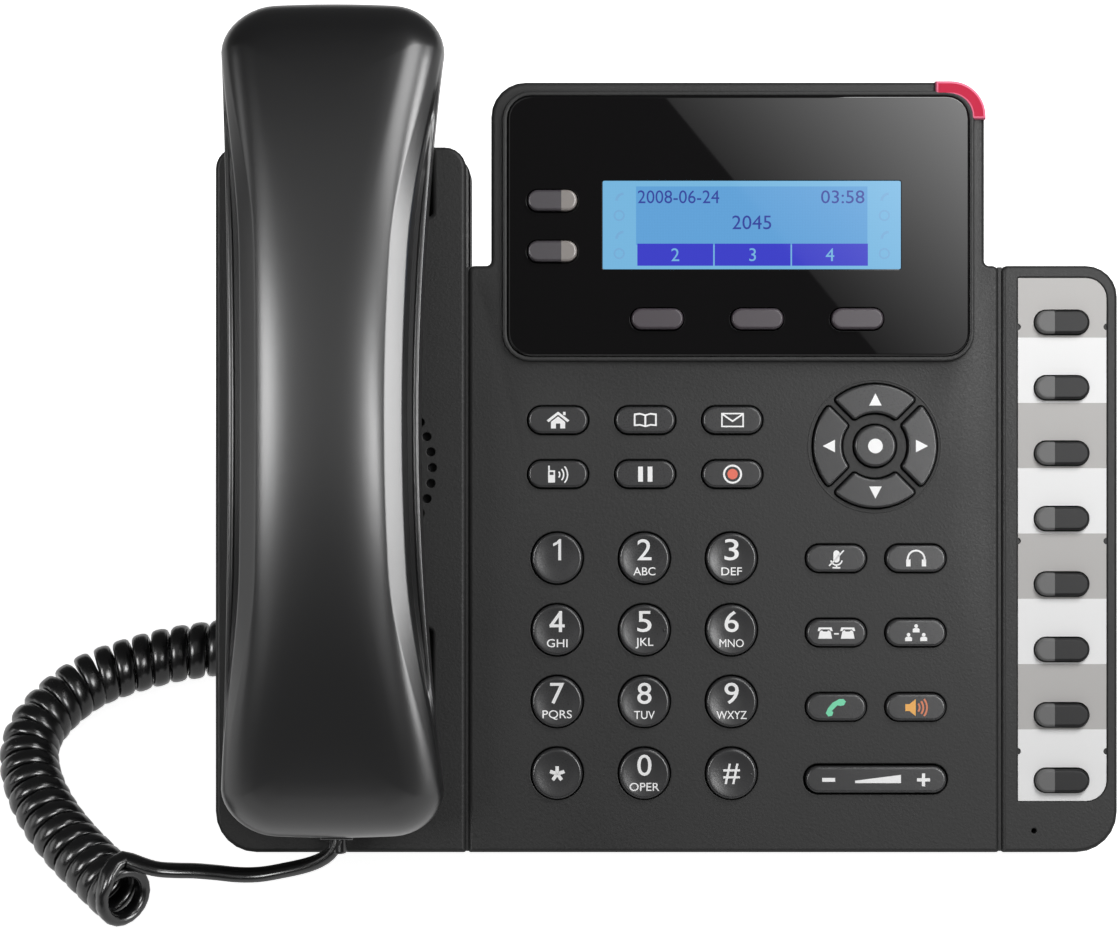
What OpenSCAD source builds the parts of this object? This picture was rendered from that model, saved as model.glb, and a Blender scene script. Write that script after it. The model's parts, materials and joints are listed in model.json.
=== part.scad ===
// Desk telephone for voice over a network: leaning case with keys and display,
// handset on its cradle, coiled handset cord and a removable stand.
// Millimetres. Z is up, X runs to the right along the face, the face looks along -Y and up.
// Most pieces are drawn in the face frame (x across, v up the face, w out of it) and
// module face() leans that frame back. w = 0 is the back plane of the case.

/* [Case] */
// Lean of the face from the desk, in degrees
tilt = 45; // [40:1:50]
// Width of the side wing, to the right of the key area
wing_w = 27.5; // [26:0.5:32]
// Height of the side wing up the face
wing_h = 136; // [135:0.5:150]
// Depth of the case from the back plane to the key face
case_d = 26; // [25:0.5:32]
// Depth at which rear and front housing meet
split_d = 11; // [10.5:0.5:12]
// Wall thickness of the housings
wall = 2.2; // [1.6:0.1:2.4]
// Corner radius at the bottom of the case
corner_r = 9.5; // [6:0.5:14]
// Corner radius at the top of the side wing
wing_r = 7.2; // [4:0.2:9]
// Height above the bottom edge at which the case is cut flat for its feet
flat_cut = 7; // [6:0.5:7]

/* [Cradle column] */
// Width of the cradle column at the left
column_w = 58.5; // [58:0.5:62]
// Height of the cradle column up the face
column_h = 163.5; // [160:0.5:175]
// Corner radius at the top of the column
column_r = 5; // [3:0.5:7]
// Height of the floor in both cradle wells above the back plane
cradle_floor = 14; // [13.5:0.5:15]
// Width of the cradle wells
well_w = 42; // [40:0.5:44]
// Gap between a handset cap and the ends of its well
well_gap = 2; // [1.5:0.25:3]
// Radius of the speaker grille's outer ring of holes
grille_r = 21; // [18:0.5:23]
// Height of the grille's centre up the face
grille_v = 89.2; // [85:0.2:95]
// Diameter of a grille hole
grille_hole = 2; // [1.5:0.1:2.2]

/* [Display head] */
// Border of the display head on each side of its window
head_side = 3.85; // [3.6:0.05:5]
// Border of the display head above its window
head_top = 3.5; // [3.5:0.1:6]
// Gap between the cradle column and the display head
head_left_gap = 5.4; // [4:0.1:7]
// Gap between the display head and the side wing
head_right_gap = 3.3; // [3:0.1:6]
// Corner radius of the head
head_r = 8; // [6:0.5:10]
// Height of the raised pad under the display window
head_rise = 1.2; // [0.8:0.1:2]
// Width of the display window
window_w = 106.6; // [104:0.2:107]
// Height of the display window
window_h = 60; // [58:0.5:60]
// Height of the window's lower edge up the face
window_low = 115; // [114.5:0.5:117]
// Corner radius of the window
window_r = 5.3; // [3:0.1:7]
// Thickness of the window
window_t = 1.8; // [1.4:0.1:2]
// Height of the window's edge above the raised pad
window_proud = 0.4; // [0.2:0.1:0.6]
// Width of the visible liquid crystal area
lcd_w = 68.8; // [66:0.2:69]
// Height of the visible liquid crystal area
lcd_h = 20.4; // [18:0.2:21]
// Distance of the display's middle to the right of the window's middle
lcd_right = 3.05; // [1.5:0.05:4]
// Distance of the display's middle above the window's middle
lcd_up = 0.2; // [-1:0.1:2]
// Visible thickness of the message lamp
lamp_t = 3.2; // [2.6:0.1:3.2]

/* [Keys] */
// Diameter of a dial key
dial_d = 11.7; // [10:0.1:12]
// Distance between dial key columns
dial_dx = 20.15; // [19:0.1:20.5]
// Distance between dial key rows
dial_dv = 16.6; // [15.5:0.1:16.8]
// Width of a function key
func_w = 13.8; // [13:0.1:14.2]
// Height of a function key
func_h = 6.2; // [5.8:0.1:6.6]
// Width of a soft key
soft_w = 12; // [11:0.1:13]
// Width of a line key
line_w = 11.4; // [10.5:0.1:11.6]
// Height of the soft keys and line keys
soft_h = 4.8; // [4.4:0.1:5.2]
// Width of a speed-dial key
speed_w = 12.3; // [11.5:0.1:12.8]
// Height of a speed-dial key
speed_h = 5.3; // [5:0.1:5.8]
// Distance between speed-dial keys
speed_dv = 15.15; // [15:0.05:15.3]
// Radius around the navigation cluster's arrow keys
nav_r = 14.3; // [13.5:0.1:14.5]
// Radius inside the arrow keys
nav_in = 7.7; // [7.4:0.1:8]
// Diameter of the centre key
nav_ok_d = 9.6; // [9:0.1:10]
// Width of the volume rocker
rocker_w = 32.5; // [30:0.5:33]
// Height of the volume rocker
rocker_h = 6.1; // [5.6:0.1:6.6]
// Height of the key tops above the face around them
key_proud = 1.2; // [0.8:0.1:1.8]
// Travel of a key
key_travel = 1.2; // [0.8:0.1:1.3]
// Side gap between a key and its hole
key_gap = 0.3; // [0.25:0.05:0.4]

/* [Handset] */
// Length of the handset
handset_l = 187.5; // [184:0.5:192]
// Height of the handset's lower end up the face
handset_v = 5.9; // [5:0.1:8]
// Width of the handset at its ends
handset_w = 49.8; // [46:0.2:50]
// Width of the handset's waist
waist_w = 41.6; // [38:0.2:44]
// Outer height of the handset's ends above the back plane
end_top = 48.5; // [46:0.5:52]
// Rise of the handset's arch from its ends to its middle
arch = 15.5; // [12:0.5:18]
// Thickness of the handset's ends
end_t = 17; // [16:0.5:18]
// Thickness of the grip
grip_t = 21.5; // [20:0.5:24]
// Wall thickness of the handset
handset_wall = 2; // [1.6:0.1:2.4]
// Width of the ear and mouth caps
cap_w = 37; // [34:0.5:38]
// Length of the ear and mouth caps along the handset
cap_l = 38; // [34:0.5:40]

/* [Stand] */
// Width of the stand
stand_w = 122; // [110:1:130]
// Height up the back at which the stand's side plates begin
stand_v0 = 62; // [60:1:66]
// Height up the back at which the stand ends
stand_v1 = 132; // [126:1:134]
// Thickness of the stand's plates
stand_t = 3; // [2.5:0.1:4]
// Distance of the stand's foot behind the top of the stand
stand_back = 16; // [12:1:20]
// Height of the rubber feet
foot_h = 2; // [1.5:0.1:2.5]

/* [Electronics] */
// Height of the circuit board's underside above the back plane
board_w0 = 15.4; // [15.2:0.1:15.8]
// Thickness of the circuit board
board_t = 1.6; // [1.2:0.1:1.8]
// Height of a dome switch
dome_h = 1.2; // [0.8:0.1:1.4]
// Radius of the power inlet's bore
inlet_r = 2.85; // [2.75:0.05:3]
// Radius of the power inlet's centre pin
inlet_pin_r = 1.05; // [0.8:0.05:1.25]
// Radius of the case screws' thread
screw_r = 1.5; // [1.4:0.1:1.6]

/* [Cord] */
// Diameter of the cord's wire
wire_d = 2.8; // [2.6:0.1:3.2]
// Outer diameter of the coil
coil_d = 14.3; // [13.9:0.1:14.5]

/* [Hidden] */
$fn = 48;
snug = 0.05;   // gap of a fit between pieces that stay put
loose = 0.3;   // gap that keeps a moving or soft piece clear
cs = cos(tilt);
sn = sin(tilt);
head_w = window_w + 2 * head_side;
main_w = head_left_gap + head_w + head_right_gap;
case_w = column_w + main_w + wing_w;
half_w = case_w / 2;
face_in = case_d - wall;            // underside of the front plate
column_x = -half_w + column_w / 2;  // middle of the cradle column
column_right = -half_w + column_w;
wing_seam = half_w - wing_w;        // seam between key area and wing
head_left = column_right + head_left_gap;
head_right = head_left + head_w;
head_x = head_left + head_w / 2;
window_v = window_low + window_h / 2;
head_h = window_low + window_h + head_top;
lcd_x = head_x + lcd_right;
lcd_v = window_v + lcd_up;
pad_top = case_d + head_rise;
pad_rim = 1.2;                      // width of the raised pad's rim round the window
window_top = pad_top + window_proud;
window_bot = window_top - window_t;
board_top = board_w0 + board_t;
seam_w = 0.7;
seam_d = 0.8;
sharp = 0.5;                        // rounding of corners that look sharp

// where the handset lies, and the cradle wells below its caps
handset_x = column_x;
handset_top = handset_v + handset_l;
cap_low = cradle_floor + 0.4;       // underside of the caps, just above the floor of the wells
cap_inset = 6;                      // from a handset end to its cap
mouth_v = handset_v + cap_inset + cap_l / 2;
ear_v = handset_top - cap_inset - cap_l / 2;
well_v0 = handset_v + cap_inset - well_gap;
well_v1 = well_v0 + cap_l + 2 * well_gap;
recess_v0 = handset_top - cap_inset - cap_l - well_gap;
well_wall = 2;
hook_w = 12;                        // size of the hook switch's plunger
hook_l = 6;
hook_in = 9;                        // from the end of the upper well to the plunger
hook_v = recess_v0 + hook_in;
hook_rim = 1.5;                     // how far the flange reaches past the plunger
hook_travel = 4;
hook_flange = 1.5;

// place of the case: its cut edge stands on the feet, and its box is centred on the origin
place_z = foot_h - flat_cut;
end_r = 7;                          // rounding of the handset's ends in side view
plan_r = 11.5;                      // rounding of its corners seen from the front
cap_r = 12;
sound_step = 6;                     // distance between the sound holes in a cap
sound_hole = 2;
front_reach = (handset_v + 0.3 * end_r) * cs - (end_top + 0.05 * arch - 0.3 * end_r) * sn;
place_y = -(front_reach + head_h * cs) / 2;

// key positions: name, x, v, width, height
dial_in = 20.7;                     // from the column to the first column of keys
dial_x = column_right + dial_in;
dial_v = 18.45;
dial_names = [
    ["key_star", "key_0", "key_hash"],
    ["key_7", "key_8", "key_9"],
    ["key_4", "key_5", "key_6"],
    ["key_1", "key_2", "key_3"]
];
dial_keys = [
    for (row = [0 : 3]) for (col = [0 : 2])
        [dial_names[row][col], dial_x + col * dial_dx, dial_v + row * dial_dv, dial_d, dial_d]
];
func_x = dial_x + 0.2;
func_v = 87.7;
func_dv = 12.5;
func_names = [
    ["key_intercom", "key_hold", "key_record"],
    ["key_home", "key_contacts", "key_message"]
];
func_keys = [
    for (row = [0 : 1]) for (col = [0 : 2])
        [func_names[row][col], func_x + col * dial_dx, func_v + row * func_dv, func_w, func_h]
];
side_dx = 18.4;
side_in = 19.4;                     // from the wing to the outer column of keys
side_x = wing_seam - side_in - side_dx;
side_v = 33.8;
side_dv = 17.2;
side_names = [
    ["key_send", "key_speaker"],
    ["key_transfer", "key_conference"],
    ["key_mute", "key_headset"]
];
side_keys = [
    for (row = [0 : 2]) for (col = [0 : 1])
        [side_names[row][col], side_x + col * side_dx, side_v + row * side_dv, func_w, func_h]
];
nav_x = side_x + side_dx / 2 - 0.2;
nav_v = 94.2;
nav_rib = 0.9;                      // half width of the ribs between arrow keys
nav_names = [["nav_up", 90], ["nav_left", 180], ["nav_down", 270], ["nav_right", 0]];
nav_mid = (nav_r + nav_in) / 2;
speed_in = 13;                      // from the case's edge to the speed-dial keys
speed_x = half_w - speed_in;
speed_v = 16.8;
speed_n = 8;
speed_keys = [
    for (i = [0 : speed_n - 1])
        [str("speed_key_", speed_n - i), speed_x, speed_v + i * speed_dv, speed_w, speed_h]
];
soft_dx = 23.05;
soft_x = lcd_x + 1.25 - soft_dx;
soft_up = 8.5;                      // from the window's edge to the soft keys
soft_v = window_low + soft_up;
soft_keys = [
    for (i = [0 : 2])
        [str("soft_key_", i + 1), soft_x + i * soft_dx, soft_v, soft_w, soft_h]
];
line_in = 10.35;                    // from the window's edge to the line keys
line_x = head_x - window_w / 2 + line_in;
line_v = lcd_v + 5.6;
line_dv = 11.7;
line_keys = [
    for (i = [0 : 1])
        [str("line_key_", i + 1), line_x, line_v - i * line_dv, line_w, soft_h]
];
nav_ok = ["nav_ok", nav_x, nav_v, nav_ok_d, nav_ok_d];
face_keys = concat(dial_keys, func_keys, side_keys, [nav_ok]);
card_keys = speed_keys;
head_keys = concat(soft_keys, line_keys);
plain_keys = concat(face_keys, card_keys, head_keys);
flange_gap = 0.2;                   // below the front plate, at rest
flange_t = 1.4;
flange_w = 0.8;                     // how far a flange reaches past its key
nav_flange = 0.4;
plunger_r = 2;
dome_r = 3;
dome_gap = 0.15;
key_low = board_top + dome_h + key_travel + dome_gap;

// volume rocker
rocker_x = (side_keys[0][1] + side_keys[1][1]) / 2;
rocker_v = 17.1;
rocker_gap = 0.5;
pivot_w = 21.6;
pivot_r = 1.2;
pivot_fit = 0.06;
lug_t = 1.8;
lug_gap = 0.5;
rocker_low = pivot_w - pivot_r - 0.3;
rocker_reach = 11;                  // from the pivot to each dome
rocker_rise = 1.2;                  // from each dome to the rocker's plunger above it
rocker_plunger_r = 1.6;

// label card
card_w = 20.7;
card_side = 2.5;                    // from the card to the case's edge
card_top = 2.8;
card_x1 = half_w - card_side;
card_x0 = card_x1 - card_w;
card_v0 = 11.9;
card_v1 = wing_h - card_top;
card_t = 0.35;
card_sink = 0.5;
card_r = 5;
card_sharp = 0.4;
card_fit = 0.1;
notch_r = 0.7;
notch_vs = [card_v0 + 11.6, card_v0 + 60.3, card_v1 - 11.4];

// microphone hole
mic_d = 1.2;
mic_in = 19.4;
mic_v = 5.1;

// screws: x, v
column_post_x = 22.25;              // from the column's middle to its posts
column_posts = [for (x = [-1, 1]) for (v = [63, 118]) [column_x + x * column_post_x, v]];
post_left = column_right + 9;
post_right = wing_seam - 5;
main_posts = [
    [post_left, 14], [post_right, 14], [post_left, 60], [post_right, 60], [post_left, 110],
    [post_right, 112], [head_left + 7.1, head_h - 9.5], [head_right - 9.7, head_h - 11.5]
];
post_r = 4.4;
boss_r = 3.2;
head_bore_r = 3;
head_bore_d = 5;
screw_head_r = 2.7;
screw_head_h = 2;
screw_slot_l = 3.2;
screw_slot_w = 0.8;
screw_slot_d = 1;
screw_tip = 22;

// jacks under the board: name, x, width, socket width, socket height
jack_v = 78;
jack_l = 16;
jack_low = 1.4;
jacks = [
    [column_right + 14, 11.4, 7.8, 6.8], [column_right + 33, 11.4, 7.8, 6.8],
    [column_right + 54, 16, 11.8, 7.6], [column_right + 76, 16, 11.8, 7.6]
];
socket_d = 12;
inlet_x = column_right + 96;
inlet_size = 10;

// plugs of the handset cord
plug_w = 7.6;
plug_h = 6.6;
plug_l = 13;
plug_in = 12;                       // depth of the plug in the handset
base_in = 8;                        // depth of the plug in the base
lead_w = end_top - end_t / 2 - 6;   // height at which the lead enters the handset

// route of the cord, on and above the desk
base_route = [
    [-32, 8.2, 47.6], [-32, 11.5, 44.3], [-32.5, 16, 38], [-34.5, 19, 30], [-38, 19, 22],
    [-43, 16, 14.5], [-49, 12, 9.5], [-56, 8.5, 7.5], [-63, 6, 7.15]
];
coil_route = [
    [-67, 4.5, 7.15], [-80, 3, 7.15], [-92, 2, 7.15], [-103, 1, 7.15], [-113, -0.5, 7.15],
    [-123.5, -2.7, 7.15], [-133.3, -6.2, 7.15], [-142.5, -11, 7.15], [-149.3, -18, 7.15],
    [-153.6, -26, 7.15], [-154.4, -34, 7.15], [-151.6, -43.5, 7.15], [-146.2, -53, 7.15],
    [-139.7, -61.2, 7.4], [-132.6, -68.4, 8.5], [-128, -73, 9.8], [-124, -77.5, 11.8]
];
lead_route = [
    [-75.25, -70.1, 22.5], [-75.9, -71.5, 20.8], [-78.3, -72.4, 18.4], [-82.4, -72.6, 15.8],
    [-88.7, -72.3, 13],
    [-94, -72.2, 11.4], [-99, -72, 11], [-104, -71.6, 11.3], [-109, -71.6, 12],
    [-113.5, -72.1, 12.9], [-118.2, -73, 13.9]
];

// ---------- frames ----------

module seat() translate([0, place_y, place_z]) children();
module face() seat() rotate([tilt, 0, 0]) children();
module at(x, v, w = 0) translate([x, v, w]) children();

// ---------- flat shapes ----------

// rectangle with its own radius at each corner: bottom left, bottom right, top right, top left
module plate(x0, v0, x1, v1, bl, br, tr, tl) {
    polygon([
        [x0 + bl, v0], [x1 - br, v0], [x1, v0 + br], [x1, v1 - tr],
        [x1 - tr, v1], [x0 + tl, v1], [x0, v1 - tl], [x0, v0 + bl]
    ]);
    translate([x0 + bl, v0 + bl]) circle(bl);
    translate([x1 - br, v0 + br]) circle(br);
    translate([x1 - tr, v1 - tr]) circle(tr);
    translate([x0 + tl, v1 - tl]) circle(tl);
}

module even_plate(w, h, r) plate(-w / 2, -h / 2, w / 2, h / 2, r, r, r, r);

module pill(w, h) {
    if (w == h) {
        circle(d = h);
    } else {
        square([w - h, h], center = true);
        for (side = [-1, 1]) translate([side * (w - h) / 2, 0]) circle(d = h);
    }
}

// outline of the whole case, drawn in by a margin
module case_outline(in = 0) {
    low = wing_h / 2;
    plate(-half_w + in, in, half_w - in, wing_h - in,
          corner_r - in, corner_r - in, wing_r - in, sharp);
    plate(-half_w + in, low, column_right - in, column_h - in,
          sharp, sharp, column_r - in, column_r - in);
    plate(head_left + in, low, head_right - in, head_h - in, sharp, sharp, head_r - in, head_r - in);
}

module window_outline(grow = 0) {
    translate([head_x, window_v])
        even_plate(window_w + 2 * grow, window_h + 2 * grow, window_r + grow);
}

module lamp_outline(grow = 0) {
    lamp_x = head_right - 11.5;
    lamp_v = head_h - 8.7;
    intersection() {
        difference() {
            plate(head_left, wing_h, head_right, head_h, head_r, head_r, head_r, head_r);
            plate(head_left, wing_h, head_right - lamp_t - grow, head_h - lamp_t - grow,
                  1, 1, head_r - lamp_t, 1);
        }
        translate([lamp_x - grow, lamp_v - grow]) square(20);
    }
}

module nav_segment(turn, grow = 0) {
    rotate(turn) intersection() {
        difference() {
            circle(nav_r + grow);
            circle(nav_in - grow);
        }
        rotate(-45) translate([nav_rib - grow, nav_rib - grow]) square(nav_r + 1);
    }
}

module key_holes(keys, grow) {
    for (k = keys) translate([k[1], k[2]]) pill(k[3] + 2 * grow, k[4] + 2 * grow);
}

module nav_holes() {
    for (k = nav_names) translate([nav_x, nav_v]) nav_segment(k[1], key_gap);
}

module rocker_hole() {
    translate([rocker_x, rocker_v]) pill(rocker_w + 2 * rocker_gap, rocker_h + 2 * rocker_gap);
}

module card_outline(grow = 0) {
    plate(card_x0 - grow, card_v0 - grow, card_x1 + grow, card_v1 + grow,
          card_sharp, card_r, card_r, card_sharp);
}

module grille_holes() {
    rings = [[grille_r, 36], [grille_r - 3.7, 30], [grille_r - 7.4, 24], [grille_r - 11.1, 18]];
    for (ring = rings) for (i = [0 : ring[1] - 1])
        rotate(i * 360 / ring[1]) translate([ring[0], 0]) circle(d = grille_hole, $fn = 16);
}

// everything below the flat on which the case stands, raised by a wall
module below_flat(raise = 0) {
    size = 60;
    rotate([-tilt, 0, 0])
        translate([-case_w, -size, flat_cut + raise - size])
            cube([2 * case_w, 2 * size, size]);
}

// ---------- front housing ----------

module well_box(v0, v1, grow, floor_w) {
    translate([column_x - well_w / 2 - grow, v0 - grow, floor_w])
        cube([well_w + 2 * grow, v1 - v0 + 2 * grow, case_d + 1 - floor_w]);
}

module front_plate_2d() {
    difference() {
        case_outline();
        key_holes(face_keys, key_gap);
        key_holes(card_keys, key_gap);
        key_holes(head_keys, key_gap);
        nav_holes();
        rocker_hole();
        translate([column_x, grille_v]) grille_holes();
        translate([lcd_x, lcd_v]) square([lcd_w + 2, lcd_h + 2], center = true);
        translate([half_w - mic_in, mic_v]) circle(d = mic_d, $fn = 16);
    }
}

module front_housing() {
    recess_end = column_h + 1;
    color("#404042") face() difference() {
        union() {
            translate([0, 0, face_in]) linear_extrude(wall) front_plate_2d();
            translate([0, 0, split_d]) linear_extrude(face_in - split_d + 0.01) difference() {
                case_outline();
                case_outline(wall);
            }
            // raised pad that carries the display window
            translate([0, 0, case_d - 0.01]) linear_extrude(head_rise + 0.01) difference() {
                window_outline(pad_rim);
                window_outline(snug);
            }
            // walls and floors of the two cradle wells
            intersection() {
                translate([0, 0, cradle_floor - well_wall])
                    linear_extrude(face_in - cradle_floor + well_wall + 0.01) case_outline();
                union() {
                    well_box(well_v0, well_v1, well_wall, cradle_floor - well_wall);
                    well_box(recess_v0, recess_end, well_wall, cradle_floor - well_wall);
                }
            }
            // bosses for the case screws
            for (p = concat(column_posts, main_posts))
                at(p[0], p[1], board_top) cylinder(h = face_in - board_top + 0.01, r = boss_r);
            // ring round the loudspeaker
            at(column_x, grille_v, face_in - 5) difference() {
                cylinder(h = 5.01, r = grille_r + 3.5);
                translate([0, 0, -1]) cylinder(h = 8, r = grille_r + 2);
            }
            // lugs that carry the volume rocker
            for (side = [-1, 1])
                at(rocker_x, rocker_v + side * (rocker_h / 2 + lug_gap + rocker_gap + lug_t / 2), 0)
                    translate([-3, -lug_t / 2, pivot_w - 3])
                        cube([6, lug_t, face_in - pivot_w + 3.01]);
        }
        // cradle wells
        well_box(well_v0, well_v1, 0, cradle_floor);
        well_box(recess_v0, recess_end + well_wall + 1, 0, cradle_floor);
        at(column_x, hook_v, 0)
            translate([-hook_w / 2 - key_gap, -hook_l / 2 - key_gap, split_d])
                cube([hook_w + 2 * key_gap, hook_l + 2 * key_gap, case_d]);
        // seat of the window and of the label card
        translate([0, 0, window_bot]) linear_extrude(case_d) window_outline(snug);
        translate([0, 0, case_d - card_sink]) linear_extrude(5) card_outline(card_fit);
        // notch for the message lamp
        translate([0, 0, face_in - 5]) linear_extrude(case_d) lamp_outline(snug);
        // seams on both sides of the key area
        translate([column_right - seam_w, -1, case_d - seam_d]) cube([seam_w, column_h + 2, 5]);
        translate([wing_seam, -1, case_d - seam_d]) cube([seam_w, wing_h + 2, 5]);
        // groove round the navigation keys
        at(nav_x, nav_v, case_d - 0.5) difference() {
            cylinder(h = 2, r = nav_r + 1.1);
            translate([0, 0, -1]) cylinder(h = 4, r = nav_r + 0.7);
        }
        // thread bores and the rocker's bearing
        for (p = concat(column_posts, main_posts))
            at(p[0], p[1], board_top - 1) cylinder(h = screw_tip - board_top + 1.5, r = screw_r + snug);
        at(rocker_x, rocker_v, pivot_w) rotate([90, 0, 0])
            cylinder(h = rocker_h + 12, r = pivot_r + pivot_fit, center = true);
    }
}

// ---------- rear housing ----------

module rear_housing() {
    vent_n = 9;
    vent_dx = 7;
    hook_x = stand_w / 2 - 16;
    color("#3a3a3c") face() difference() {
        union() {
            difference() {
                linear_extrude(split_d) case_outline();
                difference() {
                    translate([0, 0, wall]) linear_extrude(split_d) case_outline(wall);
                    below_flat(wall);
                }
            }
            for (p = main_posts) at(p[0], p[1], wall - 0.01) cylinder(h = board_w0 - wall + 0.01, r = post_r);
            for (p = column_posts)
                at(p[0], p[1], wall - 0.01) cylinder(h = board_top - wall + 0.01, r = post_r);
        }
        below_flat();
        // screw holes
        for (p = concat(main_posts, column_posts)) {
            at(p[0], p[1], -1) cylinder(h = board_top + 2, r = screw_r + 0.1);
            at(p[0], p[1], -1) cylinder(h = head_bore_d + 1, r = head_bore_r);
        }
        // windows for the jacks
        for (j = jacks)
            at(j[0], jack_v, 0) cube([j[1] + 2 * loose, jack_l + 2 * loose, 3 * wall], center = true);
        at(inlet_x, jack_v, 0)
            cube([inlet_size + 2 * loose, inlet_size + 2 * loose, 3 * wall], center = true);
        // vents
        for (i = [0 : vent_n - 1]) for (v = [28, 128])
            at((i - (vent_n - 1) / 2) * vent_dx + head_x, v, -1)
                linear_extrude(wall + 2) rotate(90) pill(18, 2.2);
        // slots for the stand's hooks
        for (side = [-1, 1]) for (v = [stand_v1 - 28, stand_v1 - 7])
            at(side * hook_x, v, 0) cube([10 + 2 * snug, 4 + 2 * snug, 3 * wall], center = true);
        // keyholes for hanging the case on two wall screws
        for (side = [-1, 1]) at(head_x + side * 36, 44, -1) {
            cylinder(h = wall + 2, r = 4);
            translate([-2, 0, 0]) cube([4, 9, wall + 2]);
            translate([0, 9, 0]) cylinder(h = wall + 2, r = 2);
        }
    }
}

// ---------- stand, feet and screws ----------

function back_at(v) = [v * cs, v * sn];
foot_y = stand_v1 * cs + stand_back;
foot_l = 14;
foot_top = foot_h - place_z;
stand_side = [back_at(stand_v0), back_at(stand_v1), [foot_y, foot_top], [foot_y - foot_l, foot_top]];
stand_mid = (stand_side[0] + stand_side[1] + stand_side[2] + stand_side[3]) / 4;
window_share = 0.56;
plate_v0 = stand_v1 - 34;

// an outline in y and z, swept along x
module along_x(x0, length) {
    translate([x0, 0, 0]) rotate([90, 0, 90]) linear_extrude(length) children();
}

module stand() {
    color("#353537") {
        seat() difference() {
            union() {
                for (x = [-stand_w / 2, stand_w / 2 - stand_t]) along_x(x, stand_t) difference() {
                    polygon(stand_side);
                    polygon([for (p = stand_side) stand_mid + window_share * (p - stand_mid)]);
                }
                // leg plate, from the top of the stand to its foot
                along_x(-stand_w / 2, stand_w) polygon([
                    back_at(stand_v1), [foot_y, foot_top], [foot_y - 1.4 * stand_t, foot_top],
                    back_at(stand_v1 - 1.4 * stand_t)
                ]);
                // bar that carries the rear feet
                along_x(-stand_w / 2, stand_w) polygon([
                    [foot_y, foot_top], [foot_y - 0.4, foot_top + 5],
                    [foot_y - foot_l, foot_top + 5], [foot_y - foot_l, foot_top]
                ]);
            }
            // cut-out that lets the cables through the leg
            along_x(-stand_w / 4, stand_w / 2) polygon([
                [foot_y - 12, foot_top + 18], [foot_y + 20, foot_top + 18],
                [foot_y + 20, foot_top + 52], [foot_y - 30, foot_top + 52]
            ]);
        }
        face() translate([-stand_w / 2, plate_v0, -stand_t])
            cube([stand_w, stand_v1 - plate_v0, stand_t]);
        face() for (side = [-1, 1]) for (v = [stand_v1 - 28, stand_v1 - 7])
            at(side * (stand_w / 2 - 16), v, 0)
                translate([-5, -2, -0.01]) cube([10, 4, wall + 0.6]);
    }
}

module rubber_feet() {
    foot_x = half_w - 24;
    pad_w = 26;
    pad_l = 11;
    color("#202022") seat() {
        for (side = [-1, 1]) {
            translate([side * foot_x, 0, -place_z])
                linear_extrude(foot_h) pill(pad_w, pad_l);
            translate([side * (stand_w / 2 - 17), foot_y - foot_l / 2, -place_z])
                linear_extrude(foot_h) pill(pad_w, pad_l);
        }
    }
}

module case_screws() {
    color("silver") face() for (p = concat(main_posts, column_posts)) at(p[0], p[1], 0) difference() {
        union() {
            translate([0, 0, head_bore_d]) cylinder(h = screw_tip - head_bore_d, r = screw_r);
            translate([0, 0, head_bore_d - screw_head_h]) cylinder(h = screw_head_h, r = screw_head_r);
        }
        for (turn = [0, 90]) rotate(turn)
            translate([-screw_slot_l / 2, -screw_slot_w / 2, head_bore_d - screw_head_h - screw_slot_d])
                cube([screw_slot_l, screw_slot_w, 2 * screw_slot_d]);
    }
}

// ---------- display head ----------

module display_window() {
    color("#151516") face() translate([0, 0, window_bot]) linear_extrude(window_t) difference() {
        window_outline();
        key_holes(head_keys, key_gap);
    }
}

module lcd_module() {
    glass_t = 2.6;
    top = window_bot - 0.1;
    color("#60a5d7") face() at(lcd_x, lcd_v, 0) {
        translate([-lcd_w / 2 - 0.8, -lcd_h / 2 - 0.8, top - glass_t])
            cube([lcd_w + 1.6, lcd_h + 1.6, glass_t]);
        translate([-lcd_w / 2 - 2.5, -lcd_h / 2 - 4.5, board_top])
            cube([lcd_w + 5, lcd_h + 9, top - glass_t - board_top]);
    }
}

module message_lamp() {
    color("#cd325a") face() translate([0, 0, face_in - 5])
        linear_extrude(pad_top - face_in + 5) lamp_outline();
}

// ---------- wing ----------

module label_card() {
    color("white") face() translate([0, 0, case_d - card_sink]) linear_extrude(card_t) difference() {
        card_outline();
        key_holes(card_keys, key_gap + 0.1);
        for (v = notch_vs) for (x = [card_x0, card_x1]) translate([x, v]) circle(notch_r, $fn = 24);
    }
}

// ---------- electronics ----------

module jack(width, socket_w, socket_h) {
    difference() {
        translate([-width / 2, -jack_l / 2, jack_low]) cube([width, jack_l, board_w0 - jack_low]);
        translate([-socket_w / 2, -socket_h / 2, jack_low - 1]) cube([socket_w, socket_h, socket_d + 1]);
    }
}

module power_inlet() {
    difference() {
        translate([-inlet_size / 2, -inlet_size / 2, jack_low])
            cube([inlet_size, inlet_size, board_w0 - jack_low]);
        translate([0, 0, jack_low - 1]) cylinder(h = socket_d, r = inlet_r);
    }
    translate([0, 0, jack_low + 1.5]) cylinder(h = socket_d - 2, r = inlet_pin_r);
}

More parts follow.
